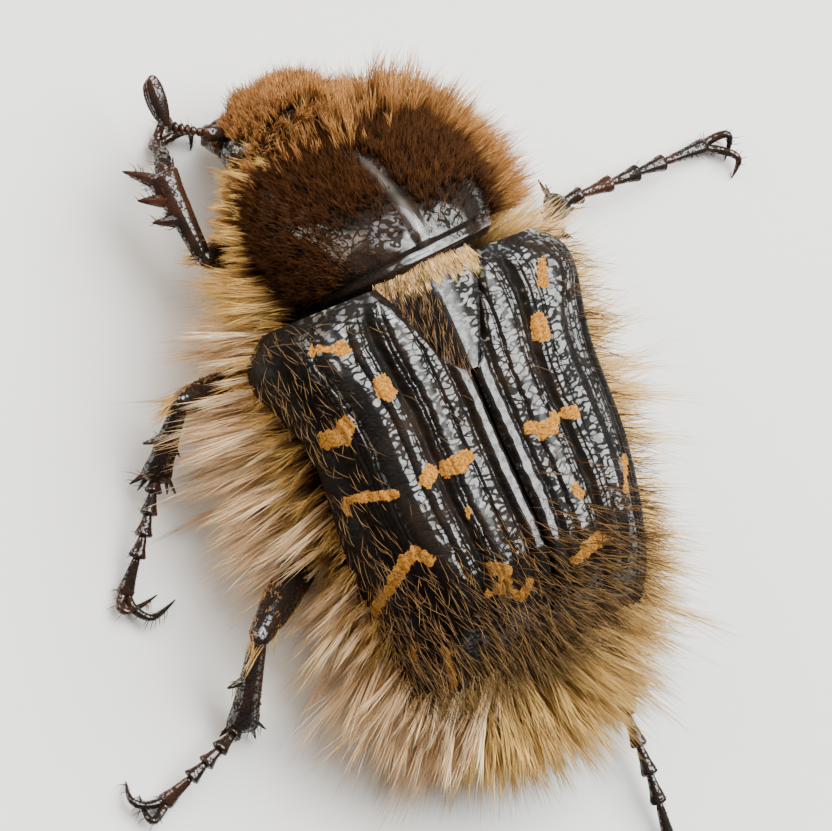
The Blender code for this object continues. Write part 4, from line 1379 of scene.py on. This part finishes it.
@dataclass
class Leg:
    """One leg: hip, thigh, shin with its teeth and spurs, five foot joints and two claws."""

    kind: LegKind
    side: Side
    hip: Triple
    knee: Triple
    ankle: Triple
    foot: Triple
    claw: Triple
    hip_depth: float = 0.532
    femur_half: float = 0.30
    tibia_half: float = 0.22
    tarsus_half: float = 0.14
    tarsus_knots: tuple[float, ...] = (0.0, 0.15, 0.34, 0.52, 0.70, 1.0)
    tarsus_arch: float = 0.16
    tooth_share: float = 1.0
    claw_spread: float = 0.16
    claw_arch: float = 0.20

    @property
    def word(self) -> str:
        """The leg's name as the nodes have it."""
        return f"{self.kind.value}_{self.side.word}"

    def between(self, start: Triple, end: Triple) -> tuple[Matrix, float]:
        """Gives the place of a limb drawn up Z from start to end, and its length."""
        first, last = Vector(start), Vector(end)
        along = last - first
        side = along.cross(Vector((0, 0, 1))).normalized()
        up = side.cross(along).normalized()
        turn = Matrix((side, up, along.normalized())).transposed().to_4x4()
        return Matrix.Translation(first) @ turn, along.length

    def segment(self, start: Triple, end: Triple, profile: Stations, half: float = 1.0) -> Piece:
        """Draws a smooth segment from start to end.

        Args:
            start: Its root.
            end: Its tip.
            profile: Rows of a share along, half width and half height.
            half: What the half widths and heights are shares of.

        Returns:
            The segment in place.
        """
        place, length = self.between(start, end)
        rows = tuple((share * length, wide * half, high * half) for share, wide, high in profile)
        return Bench.limb("segment", rows, place)

    def dress(self, part: str, look: str, *pieces: Piece) -> Piece:
        """Joins the pieces of one part of the leg, dresses it and ties it to its node."""
        piece = Bench.join(f"{part}_{self.word}_{look}", list(pieces))
        return Bench.finish(piece, LIMB.material(), f"{part}_{self.word}")

    def spine(self, root: Vector, way: Vector, reach: float, radius: float) -> Piece:
        """Draws a slightly bent tooth or spur."""
        tip = root + way.normalized() * reach
        middle = (root + tip) / 2 + Vector((0, 0, 0.06)) * reach
        return Bench.rod("spine", [root, middle, tip], [radius, radius * 0.8, 0.012], detail=2)

    def coxa(self) -> Piece:
        """Builds the hip.

        Returns:
            The finished piece.
        """
        x, y, z = self.hip
        inner = (x - self.side.value * self.hip_depth, y + 0.08, z + 0.2)
        outer = (x + self.side.value * 0.2, y, z)
        return self.dress("coxa", "shell", self.segment(inner, outer, COXA))

    def femur(self) -> Piece:
        """Builds the thigh.

        Returns:
            The finished piece.
        """
        thigh = self.segment(self.hip, self.knee, FEMUR, self.femur_half)
        return self.dress("femur", "shell", thigh)

    def tibia(self) -> Piece:
        """Builds the shin with the teeth and spurs of its pair.

        Returns:
            The finished piece.
        """
        half = self.tibia_half
        knee, ankle = Vector(self.knee), Vector(self.ankle)
        along = (ankle - knee).normalized()
        across = along.cross(Vector((0, 0, 1))).normalized()
        outer = across if across.dot(knee) > 0 else -across
        length = (ankle - knee).length
        pieces = [self.segment(self.knee, self.ankle, TIBIA, half)]
        for place, out, forward, reach, radius in TEETH[self.kind]:
            root = knee + along * length * place + outer * math.copysign(half * 0.5, out)
            way = outer * out + along * forward
            pieces.append(self.spine(root, way, reach * self.tooth_share, radius))
        return self.dress("tibia", "shell", *pieces)

    def tarsus(self) -> Piece:
        """Builds the foot: flared joints and a pair of long hooked claws.

        Returns:
            The finished piece.
        """
        ankle, foot, hook = Vector(self.ankle), Vector(self.foot), Vector(self.claw)
        foot = foot - Vector((0, 0, 0.06))
        up = Vector((0, 0, 1))
        knots = [
            ankle.lerp(foot, t) + up * (self.tarsus_arch * math.sin(math.pi * t))
            for t in self.tarsus_knots
        ]
        pieces = [
            self.segment(low, high, TARSUS_JOINT, self.tarsus_half)
            for low, high in zip(knots, knots[1:])
        ]
        along = (foot - ankle).normalized()
        apart = along.cross(up).normalized()
        ahead = Vector((along.x, along.y, 0)).normalized()
        for turn in (-1, 1):
            tip = hook + apart * turn * self.claw_spread
            tip.z = FLOOR_CLEARANCE
            root = foot + ahead * 0.16 + apart * turn * 0.08
            bend = foot + (hook - foot) * 0.30 + ahead * 0.40 + apart * turn * 0.22
            bend += up * self.claw_arch
            path = [foot - along * 0.12, root, bend, bend.lerp(tip, 0.6) + ahead * 0.05, tip]
            for place, radius in zip(path, CLAW_RADII):
                place.z = max(place.z, radius + FLOOR_CLEARANCE)
            pieces.append(Bench.rod("claw", path, list(CLAW_RADII)))
        return self.dress("tarsus", "joints", *pieces)

    def build(self) -> list[Piece]:
        """Builds the leg.

        Returns:
            Hip, thigh, shin and foot.
        """
        return [self.coxa(), self.femur(), self.tibia(), self.tarsus()]


LEGS = (
    Leg(LegKind.FRONT, Side.LEFT, (-0.95, 3.00, 0.75), (-2.50, 3.12, 1.50), (-2.63, 4.60, 1.50),
        (-1.98, 5.17, 0.20), (-1.52, 5.01, 0.06), femur_half=0.28, tibia_half=0.24),
    Leg(LegKind.FRONT, Side.RIGHT, (0.75, 3.20, 0.75), (2.20, 3.05, 1.30), (2.30, 4.15, 1.00),
        (1.65, 4.62, 0.20), (1.22, 4.86, 0.06), femur_half=0.28, tibia_half=0.24, tooth_share=0.6),
    Leg(LegKind.MIDDLE, Side.LEFT, (-1.25, 0.95, 0.55), (-3.78, 1.12, 1.48), (-4.28, 0.17, 0.50),
        (-5.42, -1.42, 0.20), (-4.74, -1.73, 0.06)),
    Leg(LegKind.MIDDLE, Side.RIGHT, (1.25, 0.95, 0.55), (3.15, 1.05, 1.50), (4.15, 1.84, 0.52),
        (7.27, 1.84, 0.20), (7.59, 1.32, 0.06)),
    Leg(LegKind.HIND, Side.LEFT, (-1.40, -1.20, 0.58), (-4.17, -2.86, 1.75), (-4.48, -4.08, 0.42),
        (-6.13, -4.77, 0.20), (-6.50, -4.36, 0.06), femur_half=0.32, tibia_half=0.24),
    Leg(LegKind.HIND, Side.RIGHT, (1.40, -1.20, 0.58), (2.95, -3.85, 1.40), (1.83, -6.05, 0.50),
        (1.84, -8.85, 0.20), (2.16, -9.32, 0.06), femur_half=0.32, tibia_half=0.24),
)


class Skin:
    """A finished surface that hair grows from."""

    def __init__(self, *pieces: Piece) -> None:
        """Reads the triangles of one or more pieces, with their own unwrap.

        Args:
            *pieces: Finished meshes.
        """
        corners, wraps = [], []
        for piece in pieces:
            mesh = piece.data
            mesh.calc_loop_triangles()
            verts, loops = np.empty((2, len(mesh.loop_triangles) * 3), dtype=np.int64)
            mesh.loop_triangles.foreach_get("vertices", verts)
            mesh.loop_triangles.foreach_get("loops", loops)
            unwrap = np.zeros(len(mesh.loops) * 2)
            if mesh.uv_layers:
                mesh.uv_layers[0].data.foreach_get("uv", unwrap)
            places = Bench.points(piece) / MM
            corners.append(places[verts].reshape(-1, 3, 3))
            wraps.append(unwrap.reshape(-1, 2)[loops].reshape(-1, 3, 2))
        self.corners = np.concatenate(corners)
        self.wraps = np.concatenate(wraps)
        edges = self.corners[:, 1:] - self.corners[:, :1]
        faces = np.cross(edges[:, 0], edges[:, 1])
        self.areas = np.linalg.norm(faces, axis=1) / 2
        self.normals = unit(faces)

    def scatter(
        self, count: int, likely: Field, draw: np.random.Generator
    ) -> tuple[Array, Array, Array]:
        """Draws places on the surface.

        Args:
            count: How many.
            likely: Gives the density for places and normals.
            draw: The seeded generator.

        Returns:
            Places, normals and places on the unwrap.
        """
        middles = self.corners.mean(axis=1)
        weight = self.areas * np.clip(likely(middles, self.normals), 0, None)
        picked = draw.choice(len(weight), size=count, p=weight / weight.sum())
        first, second = draw.random((2, count))
        fold = first + second > 1
        first[fold], second[fold] = 1 - first[fold], 1 - second[fold]
        shares = np.stack([1 - first - second, first, second], axis=1)[:, :, None]
        places = (self.corners[picked] * shares).sum(axis=1)
        return places, self.normals[picked], (self.wraps[picked] * shares).sum(axis=1)


@dataclass
class Coat:
    """One growth of hair in tufts: where it grows, how it lies and what it looks like."""

    name: str
    finish: HairFinish
    where: Field
    lie: Field
    tufts: int
    hairs: int
    length: float
    rise: float = 0.3
    droop: float = 0.0
    spread: float = 0.07
    clump: float = 0.0
    stray: float = 0.10
    thick: float = 0.008
    rings: int = 3
    uneven: float = 0.25
    seed: int = 1
    reach: Callable[[Array], Array] | None = None
    sink: float = 0.06  # how deep a root sits, as a share of the hair's length
    comb: float = 0.13  # how far tufts stray from the common lie
    shortest: float = 0.45
    longest: float = 1.6
    tip_taper: float = 0.55
    patch: float = 0.003  # side of a tuft's patch on the skin's unwrap

    def grow(self, skin: Skin) -> Piece:
        """Grows the hair from a skin as one mesh.

        Args:
            skin: The surface it is rooted in.

        Returns:
            The finished piece.
        """
        draw = np.random.default_rng(self.seed)
        roots, normals, wraps = skin.scatter(self.tufts, self.where, draw)
        lie = unit(self.lie(roots, normals) + draw.normal(0, self.comb, roots.shape))
        uneven = np.clip(draw.normal(1, self.uneven, self.tufts), self.shortest, self.longest)
        length = self.length * uneven
        if self.reach is not None:
            length *= self.reach(roots)
        start = unit(lie * (1 - self.rise) + normals * self.rise)
        end = unit(lie - np.array([0, 0, self.droop]))
        side = unit(np.cross(lie, normals) + 1e-6)
        lift = unit(np.cross(side, lie))
        shape = (self.tufts, self.hairs)
        turn = draw.uniform(0, TAU, shape)
        wide = self.spread * np.sqrt(draw.random(shape))
        away = np.cross(normals, side)
        shift = side[:, None] * (wide * np.cos(turn))[..., None]
        shift = shift + away[:, None] * (wide * np.sin(turn))[..., None]
        reach = (length[:, None] * draw.uniform(0.7, 1.05, shape))[..., None]
        stray = draw.normal(0, self.stray, (*shape, 3))
        tone = draw.normal(0.5, 0.22, (self.tufts, 1)) + draw.normal(0, 0.16, shape)
        steps = np.linspace(0, 1, self.rings + 1)
        paths = []
        for t in steps:
            along = -self.sink if t == 0 else t
            bend = start[:, None] * along + (end - start)[:, None] * (t * t / 2)
            gather = shift * (1 - self.clump * t)
            paths.append(roots[:, None] + bend * reach + gather + stray * reach * t * t)
        paths = np.stack(paths, axis=2)
        paths[..., 2] = np.maximum(paths[..., 2], FLOOR_CLEARANCE)
        return self.mesh(paths, side, lift, np.clip(tone, 0, 1), wraps, steps)

    def mesh(
        self, paths: Array, side: Array, lift: Array, tone: Array, wraps: Array, steps: Array
    ) -> Piece:
        """Makes three-sided, tapering hairs over their paths.

        Args:
            paths: Tufts by hairs by stations of X, Y and Z.
            side: The way across each tuft.
            lift: The way up from each tuft.
            tone: Each hair's tone.
            wraps: Each tuft's place on the skin's unwrap.
            steps: The share along at each station.

        Returns:
            The finished piece.
        """
        count = self.tufts * self.hairs
        rings = self.rings
        corners = np.arange(3) * TAU / 3
        across = side[:, None] * np.cos(corners)[:, None] + lift[:, None] * np.sin(corners)[:, None]
        taper = self.thick * (1 - self.tip_taper * steps[:-1] ** 2)
        body = paths[:, :, :-1, None] + across[:, None, None] * taper[:, None, None]
        body = body.reshape(count, rings * 3, 3)
        tips = paths[:, :, -1:].reshape(count, 1, 3)
        places = np.concatenate([body, tips], axis=1).reshape(-1, 3)
        stride = rings * 3 + 1
        quads = [
            (ring * 3 + i, ring * 3 + (i + 1) % 3, ring * 3 + 3 + (i + 1) % 3, ring * 3 + 3 + i)
            for ring in range(rings - 1) for i in range(3)
        ]
        last = (rings - 1) * 3
        caps = [(last + i, last + (i + 1) % 3, last + 3) for i in range(3)] + [(2, 1, 0)]
        pattern = np.array([corner for face in quads + caps for corner in face])
        sizes = np.array([len(face) for face in quads + caps])
        loops = (np.arange(count)[:, None] * stride + pattern).ravel()
        totals = np.tile(sizes, count)
        mesh = bpy.data.meshes.new(self.name)
        mesh.vertices.add(len(places))
        mesh.vertices.foreach_set("co", (places * MM).ravel())
        mesh.loops.add(len(loops))
        mesh.loops.foreach_set("vertex_index", loops)
        mesh.polygons.add(len(totals))
        mesh.polygons.foreach_set("loop_start", np.concatenate([[0], np.cumsum(totals)[:-1]]))
        mesh.update(calc_edges=True)
        piece = bpy.data.objects.new(self.name, mesh)
        bpy.context.scene.collection.objects.link(piece)
        share = np.append(np.repeat(steps[:-1], 3), 1.0)
        Bench.mark(piece, "tone", np.repeat(tone.ravel(), stride))
        Bench.mark(piece, "along", np.tile(share, count))
        self.unwrap(mesh, wraps, share, loops, stride)
        Bench.face_out(piece)
        return Bench.finish(piece, self.finish.material(), crease=180)

    def unwrap(
        self, mesh: bpy.types.Mesh, wraps: Array, share: Array, loops: Array, stride: int
    ) -> None:
        """Gives each tuft a small patch at its root's place on the skin's unwrap.

        Args:
            mesh: The mesh of hairs.
            wraps: Each tuft's place on the skin's unwrap.
            share: The share along of each vertex of a hair.
            loops: The vertex of each face corner.
            stride: Vertices in a hair.
        """
        hair, corner = np.divmod(loops, stride)
        tuft, strand = np.divmod(hair, self.hairs)
        across = (strand + 0.5 + 0.4 * ((corner % 3) - 1)) / self.hairs - 0.5
        places = wraps[tuft] + self.patch * np.stack([across, share[corner] - 0.5], axis=1)
        layer = mesh.uv_layers.new(name="OFBake")
        layer.data.foreach_set("uv", np.clip(places, 0, 1).ravel())


def fan(middle: float = 4.0, per_mm: float = 9.5, down: float = 0.1) -> Field:
    """Gives the lie of a fringe that is turned forwards at the neck and back at the tail.

    Args:
        middle: Degrees that it is swept back beside the breastbone.
        per_mm: Degrees more for each millimetre towards the tail.
        down: How far it is turned down.

    Returns:
        The lie for places and normals.
    """
    def lie(places: Array, normals: Array) -> Array:
        """Gives the lie at each place."""
        turn = np.radians(np.clip(middle - per_mm * places[:, 1], -40, 75))
        sign = np.where(places[:, 0] < 0, -1.0, 1.0)
        return np.stack([sign * np.cos(turn), -np.sin(turn), np.full(len(turn), -down)], axis=1)

    return lie


def band(values: Array, low: float, high: float, soft: float = 0.15) -> Array:
    """Is 1 between two limits and falls off softly outside them."""
    return ease((values - low) / soft + 0.5) * ease((high - values) / soft + 0.5)


@dataclass
class Fur:
    """All the hair of the beetle, growth by growth."""

    prothorax: Skin
    hind_body: Skin
    head: Skin
    elytra: Skin
    scutellum: Skin
    thighs: Skin
    shins: Skin

    def own(self, places: Array, place: Matrix = PROTHORAX_PLACE) -> Array:
        """Gives X, Y and Z in the own axes of the prothorax or of the head."""
        return moved(places, place.inverted()).T

    def disc(self) -> Coat:
        """The short brown pile on the shield, which leaves its keel and hind part bare."""
        def where(places: Array, normals: Array) -> Array:
            """Gives how likely a tuft is at each place."""
            x, y, _ = self.own(places)
            half, front = np.where(x < 0, 1.55, 1.80), np.where(x < 0, 1.50, 1.25)
            hind = ease((front - y) / 0.7) * ease((half - np.abs(x)) / 0.5)
            keel = 1.05 * bell((x - 0.03) / 0.20, power=4) * ease((2.4 - y) / 0.6)
            grown = ease((normals[:, 2] + 0.1) / 0.4) * (1.05 - np.maximum(hind, keel))
            return grown * band(y, 0.22, 4.0)

        def lie(places: Array, normals: Array) -> Array:
            """Gives the way that hair leans."""
            x, y, _ = self.own(places)
            return np.stack([x * 0.35, 0.3 + 0.25 * y, 0.1 + 0 * x], axis=1)

        return Coat("shield_pile", BROWN_HAIR, where, lie, 6200, 3, 0.24, rise=0.55, spread=0.05,
                    clump=0.25, stray=0.20, thick=0.0062, rings=2, seed=3)

    def shield_fringe(self) -> Coat:
        """The rusty ruff round the front and the right of the shield."""
        def where(places: Array, normals: Array) -> Array:
            """Gives how likely a tuft is at each place."""
            y = self.own(places)[1]
            front = ease((y - 2.0) / 0.5)
            right = ease(normals[:, 0] / 0.3)
            rim = ease((0.62 - normals[:, 2]) / 0.3) * np.maximum(front, right)
            return np.maximum(rim, 0.22 * front) * ease((places[:, 2] - 1.3) / 0.5) * (y > 0.25)

        def lie(places: Array, normals: Array) -> Array:
            """Gives the way that hair leans."""
            x, y, _ = self.own(places)
            sideways = np.sign(x) * np.abs(normals[:, 0]) * 1.1
            forward = 0.2 + 0.9 * ease((y - 1.2) / 1.4)
            return np.stack([sideways, forward, 0.3 + 0.3 * normals[:, 2]], axis=1)

        def reach(places: Array) -> Array:
            """Gives the share of the full length."""
            x = self.own(places)[0]
            return 0.5 + 0.5 * ease((x + 1.1) / 0.9) + 0.2 * ease((x - 0.6) / 0.8)

        return Coat("shield_fringe", RUST_HAIR, where, lie, 1400, 8, 0.58, rise=0.5, clump=0.45,
                    stray=0.12, thick=0.0072, seed=5, reach=reach)

    def shield_side(self, side: Side) -> Coat:
        """The pale hair on one lower side of the fore body."""
        left = side is Side.LEFT
        until, soft, rest = (0.95, 0.4, 0.35) if left else (1.7, 0.6, 0.12)
        count, length, short = (360, 1.10, 0.6) if left else (420, 0.80, 0.0)

        def where(places: Array, normals: Array) -> Array:
            """Gives how likely a tuft is at each place."""
            y = self.own(places)[1]
            ours = normals[:, 0] * side.value > 0.15
            rear = ease((until - y) / soft) + rest
            return ours * band(places[:, 2], 0.9, 2.3, 0.3) * rear * (y > 0.2)

        def reach(places: Array) -> Array:
            """Gives the share of the full length."""
            return 1 - short * ease((self.own(places)[1] - 0.7) / 0.6)

        return Coat(f"shield_side_hair_{side.word}", GOLD_HAIR, where, fan(-4, 7, 0.1), count, 13,
                    length, rise=0.35, droop=0.1, spread=0.10, clump=0.80, stray=0.07,
                    thick=0.0085, seed=7 + side.value, reach=reach)

    def tufts(self, side: Side) -> Coat:
        """The long pointed tufts that stand out from under one wing case, with gaps between."""
        left = side is Side.LEFT
        gaps = ((-2.3, 0.34), (-0.35, 0.16), (1.05, 0.14)) if left else ((0.4, 1.1), (-2.4, 0.5))
        count, length = (480, 1.62) if left else (130, 1.75)

        def where(places: Array, normals: Array) -> Array:
            """Gives how likely a tuft is at each place."""
            x, y, z = places.T
            share = (x * side.value > 0.5) * band(z, 0.85, 2.1, 0.3) * band(y, -5.2, 1.7, 0.3)
            for middle, half in gaps:
                share = share * (1 - 0.92 * bell((y - middle) / half))
            return share

        def reach(places: Array) -> Array:
            """Gives the share of the full length."""
            y = places[:, 1]
            return 0.82 + 0.30 * np.maximum(bell((y + 0.6) / 1.3), bell((y + 3.9) / 0.9))

        return Coat(f"flank_tufts_{side.word}", CREAM_HAIR, where, fan(2, 9.5, 0.10), count, 13,
                    length, droop=0.12, spread=0.09, clump=0.95, stray=0.04, thick=0.0090,
                    rings=4, uneven=0.27, seed=12 + side.value, reach=reach)

    def underlay(self, side: Side) -> Coat:
        """The shorter, looser hair between the long tufts of one side."""
        count, length = (560, 0.85) if side is Side.LEFT else (1050, 1.30)

        def where(places: Array, normals: Array) -> Array:
            """Gives how likely a tuft is at each place."""
            x, y, z = places.T
            share = (x * side.value > 0.3) * band(z, 0.8, 2.3, 0.3) * band(y, -5.2, 1.8, 0.3)
            return share * (1 - 0.7 * bell((y + 2.3) / 0.4))

        return Coat(f"flank_hair_{side.word}", GOLD_HAIR, where, fan(4, 10, -0.12), count, 8,
                    length, rise=0.35, spread=0.09, clump=0.5, thick=0.0078, seed=18 + side.value)

    def tail(self) -> Coat:
        """The golden fan on the tail plate."""
        def where(places: Array, normals: Array) -> Array:
            """Gives how likely a tuft is at each place."""
            return ease((-4.9 - places[:, 1]) / 0.3) * ease((places[:, 2] - 0.7) / 0.3)

        def lie(places: Array, normals: Array) -> Array:
            """Gives the way that hair leans."""
            x, _, z = places.T
            return np.stack([x * 0.55, np.full(len(x), -1.0), 0.3 * (z - 0.9)], axis=1)

        return Coat("tail_hair", GOLD_HAIR, where, lie, 640, 7, 1.12, droop=0.05, spread=0.06,
                    clump=0.90, stray=0.06, rings=4, uneven=0.34, seed=23)

    def belly(self) -> Coat:
        """The shorter pale hair on the underside."""
        def where(places: Array, normals: Array) -> Array:
            """Gives how likely a tuft is at each place."""
            return ease((-normals[:, 2] - 0.2) / 0.4) * (places[:, 2] > 0.25)

        return Coat("belly_hair", GOLD_HAIR, where, fan(20, 11, 0.0), 700, 6, 0.55, rise=0.12,
                    clump=0.6, thick=0.010, seed=29)

    def face(self) -> Coat:
        """The rusty tuft on the head."""
        def where(places: Array, normals: Array) -> Array:
            """Gives how likely a tuft is at each place."""
            x, y, z = self.own(places, HEAD_PLACE)
            return band(y, -0.1, 1.25, 0.3) * ease((z + 0.2) / 0.3) * ease((x + 0.80) / 0.35)

        def lie(places: Array, normals: Array) -> Array:
            """Gives the way that hair leans."""
            return 0.5 * normals + [-0.1, 0.35, 0.6]

        def reach(places: Array) -> Array:
            """Gives the share of the full length."""
            return 0.5 + 0.5 * ease((self.own(places, HEAD_PLACE)[0] + 0.6) / 0.6)

        return Coat("face_hair", RUST_HAIR, where, lie, 1150, 8, 0.38, rise=0.35, clump=0.4,
                    stray=0.12, thick=0.0078, seed=31, reach=reach)

    def wing_cases(self) -> Coat:
        """The thin brown hair on the rear and sides of the wing cases, leaning to the tail."""
        def where(places: Array, normals: Array) -> Array:
            """Gives how likely a tuft is at each place."""
            x, y, _ = places.T
            rear = ease((-y - 1.9) / 2.2) * (1 - 0.55 * ease((x - 1.1) / 0.8))
            side = np.where(x < 0, 0.35, 0.18) * ease((np.abs(x) - 1.9) / 0.4)
            return (rear + side + 0.015) * ease((normals[:, 2] + 0.3) / 0.4)

        def lie(places: Array, normals: Array) -> Array:
            """Gives the way that hair leans."""
            x, y, _ = places.T
            hind = ease((-3.9 - y) / 0.9)
            aside = np.where(x < 0, -0.08, 0.34)
            return np.stack([aside, -0.42 - 0.35 * hind, 0.80 - 0.25 * hind], axis=1)

        return Coat("wing_case_hair", WING_HAIR, where, lie, 2900, 1, 0.68, droop=0.25,
                    spread=0.02, thick=0.0060, rings=4, uneven=0.18, seed=37)

    def shield_base(self) -> Coat:
        """The yellow hair that lies back over the base of the scutellum."""
        def where(places: Array, normals: Array) -> Array:
            """Gives how likely a tuft is at each place."""
            return ease((places[:, 1] - 1.36) / 0.10) * ease(normals[:, 2] / 0.3)

        def lie(places: Array, normals: Array) -> Array:
            """Gives the way that hair leans."""
            return places * [0.2, 0, 0] - [0, 1, 0]

        return Coat("scutellum_hair", YELLOW_HAIR, where, lie, 540, 4, 0.24, rise=0.15,
                    spread=0.04, clump=0.3, stray=0.08, thick=0.0070, rings=2, seed=41)

    def shield_flank(self) -> Coat:
        """The few brown hairs on the dark left slope of the scutellum."""
        def where(places: Array, normals: Array) -> Array:
            """Gives how likely a tuft is at each place."""
            return ease(-places[:, 0] / 0.1) * ease(normals[:, 2] / 0.3)

        def lie(places: Array, normals: Array) -> Array:
            """Gives the way that hair leans."""
            return np.tile([-0.25, -0.9, 0.15], (len(places), 1))

        return Coat("scutellum_side_hair", WING_HAIR, where, lie, 150, 2, 0.30, rise=0.2,
                    spread=0.05, stray=0.12, thick=0.0050, seed=59)

    def leg_fringe(self) -> Coat:
        """The golden hair that hangs from the thighs."""
        def where(places: Array, normals: Array) -> Array:
            """Gives how likely a tuft is at each place."""
            return 0.3 + ease(-normals[:, 1])

        return Coat("thigh_hair", GOLD_HAIR, where, fan(25, 11, 0.2), 620, 5, 0.5, droop=0.15,
                    spread=0.06, clump=0.5, thick=0.009, seed=43)

    def bristles(self) -> Coat:
        """The short dark bristles on shins and feet."""
        def where(places: Array, normals: Array) -> Array:
            """Gives how likely a tuft is at each place."""
            return np.ones(len(places))

        def lie(places: Array, normals: Array) -> Array:
            """Gives the way that hair leans."""
            return normals * 0.6 + unit(places * [1, 1, 0]) - [0, 0, 0.3]

        return Coat("shin_bristles", BROWN_HAIR, where, lie, 1300, 1, 0.2, rise=0.5, spread=0.0,
                    rings=2, seed=47)

    def build(self) -> None:
        """Grows every coat from its skin."""
        sides = [self.shield_side(side) for side in Side]
        flanks = [coat(side) for side in Side for coat in (self.tufts, self.underlay)]
        for skin, coats in (
            (self.prothorax, [self.disc(), self.shield_fringe(), *sides]),
            (self.hind_body, [*flanks, self.tail(), self.belly()]),
            (self.head, [self.face()]),
            (self.elytra, [self.wing_cases()]),
            (self.scutellum, [self.shield_base(), self.shield_flank()]),
            (self.thighs, [self.leg_fringe()]),
            (self.shins, [self.bristles()]),
        ):
            for coat in coats:
                coat.grow(skin)


@dataclass
class Studio:
    """The pale floor, the soft lights and the camera."""

    floor_half: float = 600.0
    sky: Colour = (0.82, 0.84, 0.88, 1.0)
    sky_strength: float = 0.15
    eye: Triple = (-37.32, 0.49, 89.36)
    aim: Triple = (-0.297, -0.516, 2.0)
    roll: float = 69.4
    focal: float = 253.4
    sensor: float = 36.0
    nearest: float = 5.0
    lit: Triple = (0.0, 0.0, 2.0)

    def floor(self) -> None:
        """Lays the floor."""
        Bench.deselect()
        bpy.ops.mesh.primitive_plane_add(size=2 * self.floor_half * MM)
        plane = bpy.context.active_object
        plane.name = "floor"
        plane.data.materials.append(PALE_FLOOR.material())

    def light(self, name: str, at: Triple, size: float, power: float, colour: Triple) -> None:
        """Hangs one square lamp that faces the beetle.

        Args:
            name: The lamp's name.
            at: Its place in millimetres.
            size: The length of its side in millimetres.
            power: Its power in watts.
            colour: Its colour.
        """
        lamp = bpy.data.lights.new(name, "AREA")
        lamp.size = size * MM
        lamp.energy = power
        lamp.color = colour
        holder = bpy.data.objects.new(name, lamp)
        bpy.context.scene.collection.objects.link(holder)
        place = Vector(at)
        turn = (place - Vector(self.lit)).to_track_quat("Z", "Y").to_matrix().to_4x4()
        holder.matrix_world = Matrix.Scale(MM, 4) @ Matrix.Translation(place) @ turn
        holder.scale = (1, 1, 1)

    def world(self) -> None:
        """Fills the surroundings with an even pale grey."""
        world = bpy.data.worlds.new("surroundings")
        world.use_nodes = True
        shade = world.node_tree.nodes["Background"]
        Graph(world.node_tree).fill(shade, Color=self.sky, Strength=self.sky_strength)
        bpy.context.scene.world = world

    def camera(self) -> None:
        """Sets the camera at the picture's viewing angle."""
        lens = bpy.data.cameras.new("camera")
        lens.lens = self.focal
        lens.sensor_width = self.sensor
        lens.clip_start = self.nearest * MM
        holder = bpy.data.objects.new("camera", lens)
        bpy.context.scene.collection.objects.link(holder)
        eye, aim = Vector(self.eye) * MM, Vector(self.aim) * MM
        turn = (eye - aim).to_track_quat("Z", "Y").to_matrix().to_4x4()
        roll = Matrix.Rotation(math.radians(self.roll), 4, "Z")
        holder.matrix_world = Matrix.Translation(eye) @ turn @ roll
        bpy.context.scene.camera = holder

    def build(self) -> None:
        """Builds the whole studio."""
        self.floor()
        self.light("key", (112, 28, 172), 215, 1.64, (0.97, 1.0, 0.98))
        self.light("fill", (-110, 150, 100), 150, 0.48, (1.0, 0.86, 0.70))
        self.light("front", (28, 112, 168), 120, 0.30, (0.95, 0.96, 1.0))
        self.world()
        self.camera()


def main() -> None:
    """Builds the studio, the shells, the limbs and the coat."""
    logging.basicConfig(level=logging.INFO, format="%(message)s")
    Studio().build()
    # The painted shade on the right wing case starts further out than on the left one
    elytra = [Elytron(Side.LEFT).build(), Elytron(Side.RIGHT, painted_shade_from=0.82).build()]
    scutellum = Scutellum().build()
    prothorax = Prothorax().build()
    hind_body = HindBody().build()
    head = Head().build()
    legs = [leg.build() for leg in LEGS]
    Fur(
        prothorax=Skin(prothorax),
        hind_body=Skin(hind_body),
        head=Skin(head[0]),
        elytra=Skin(*elytra),
        scutellum=Skin(scutellum),
        thighs=Skin(*(leg[1] for leg in legs)),
        shins=Skin(*(piece for leg in legs for piece in leg[2:])),
    ).build()


if __name__ == "__main__":
    main()
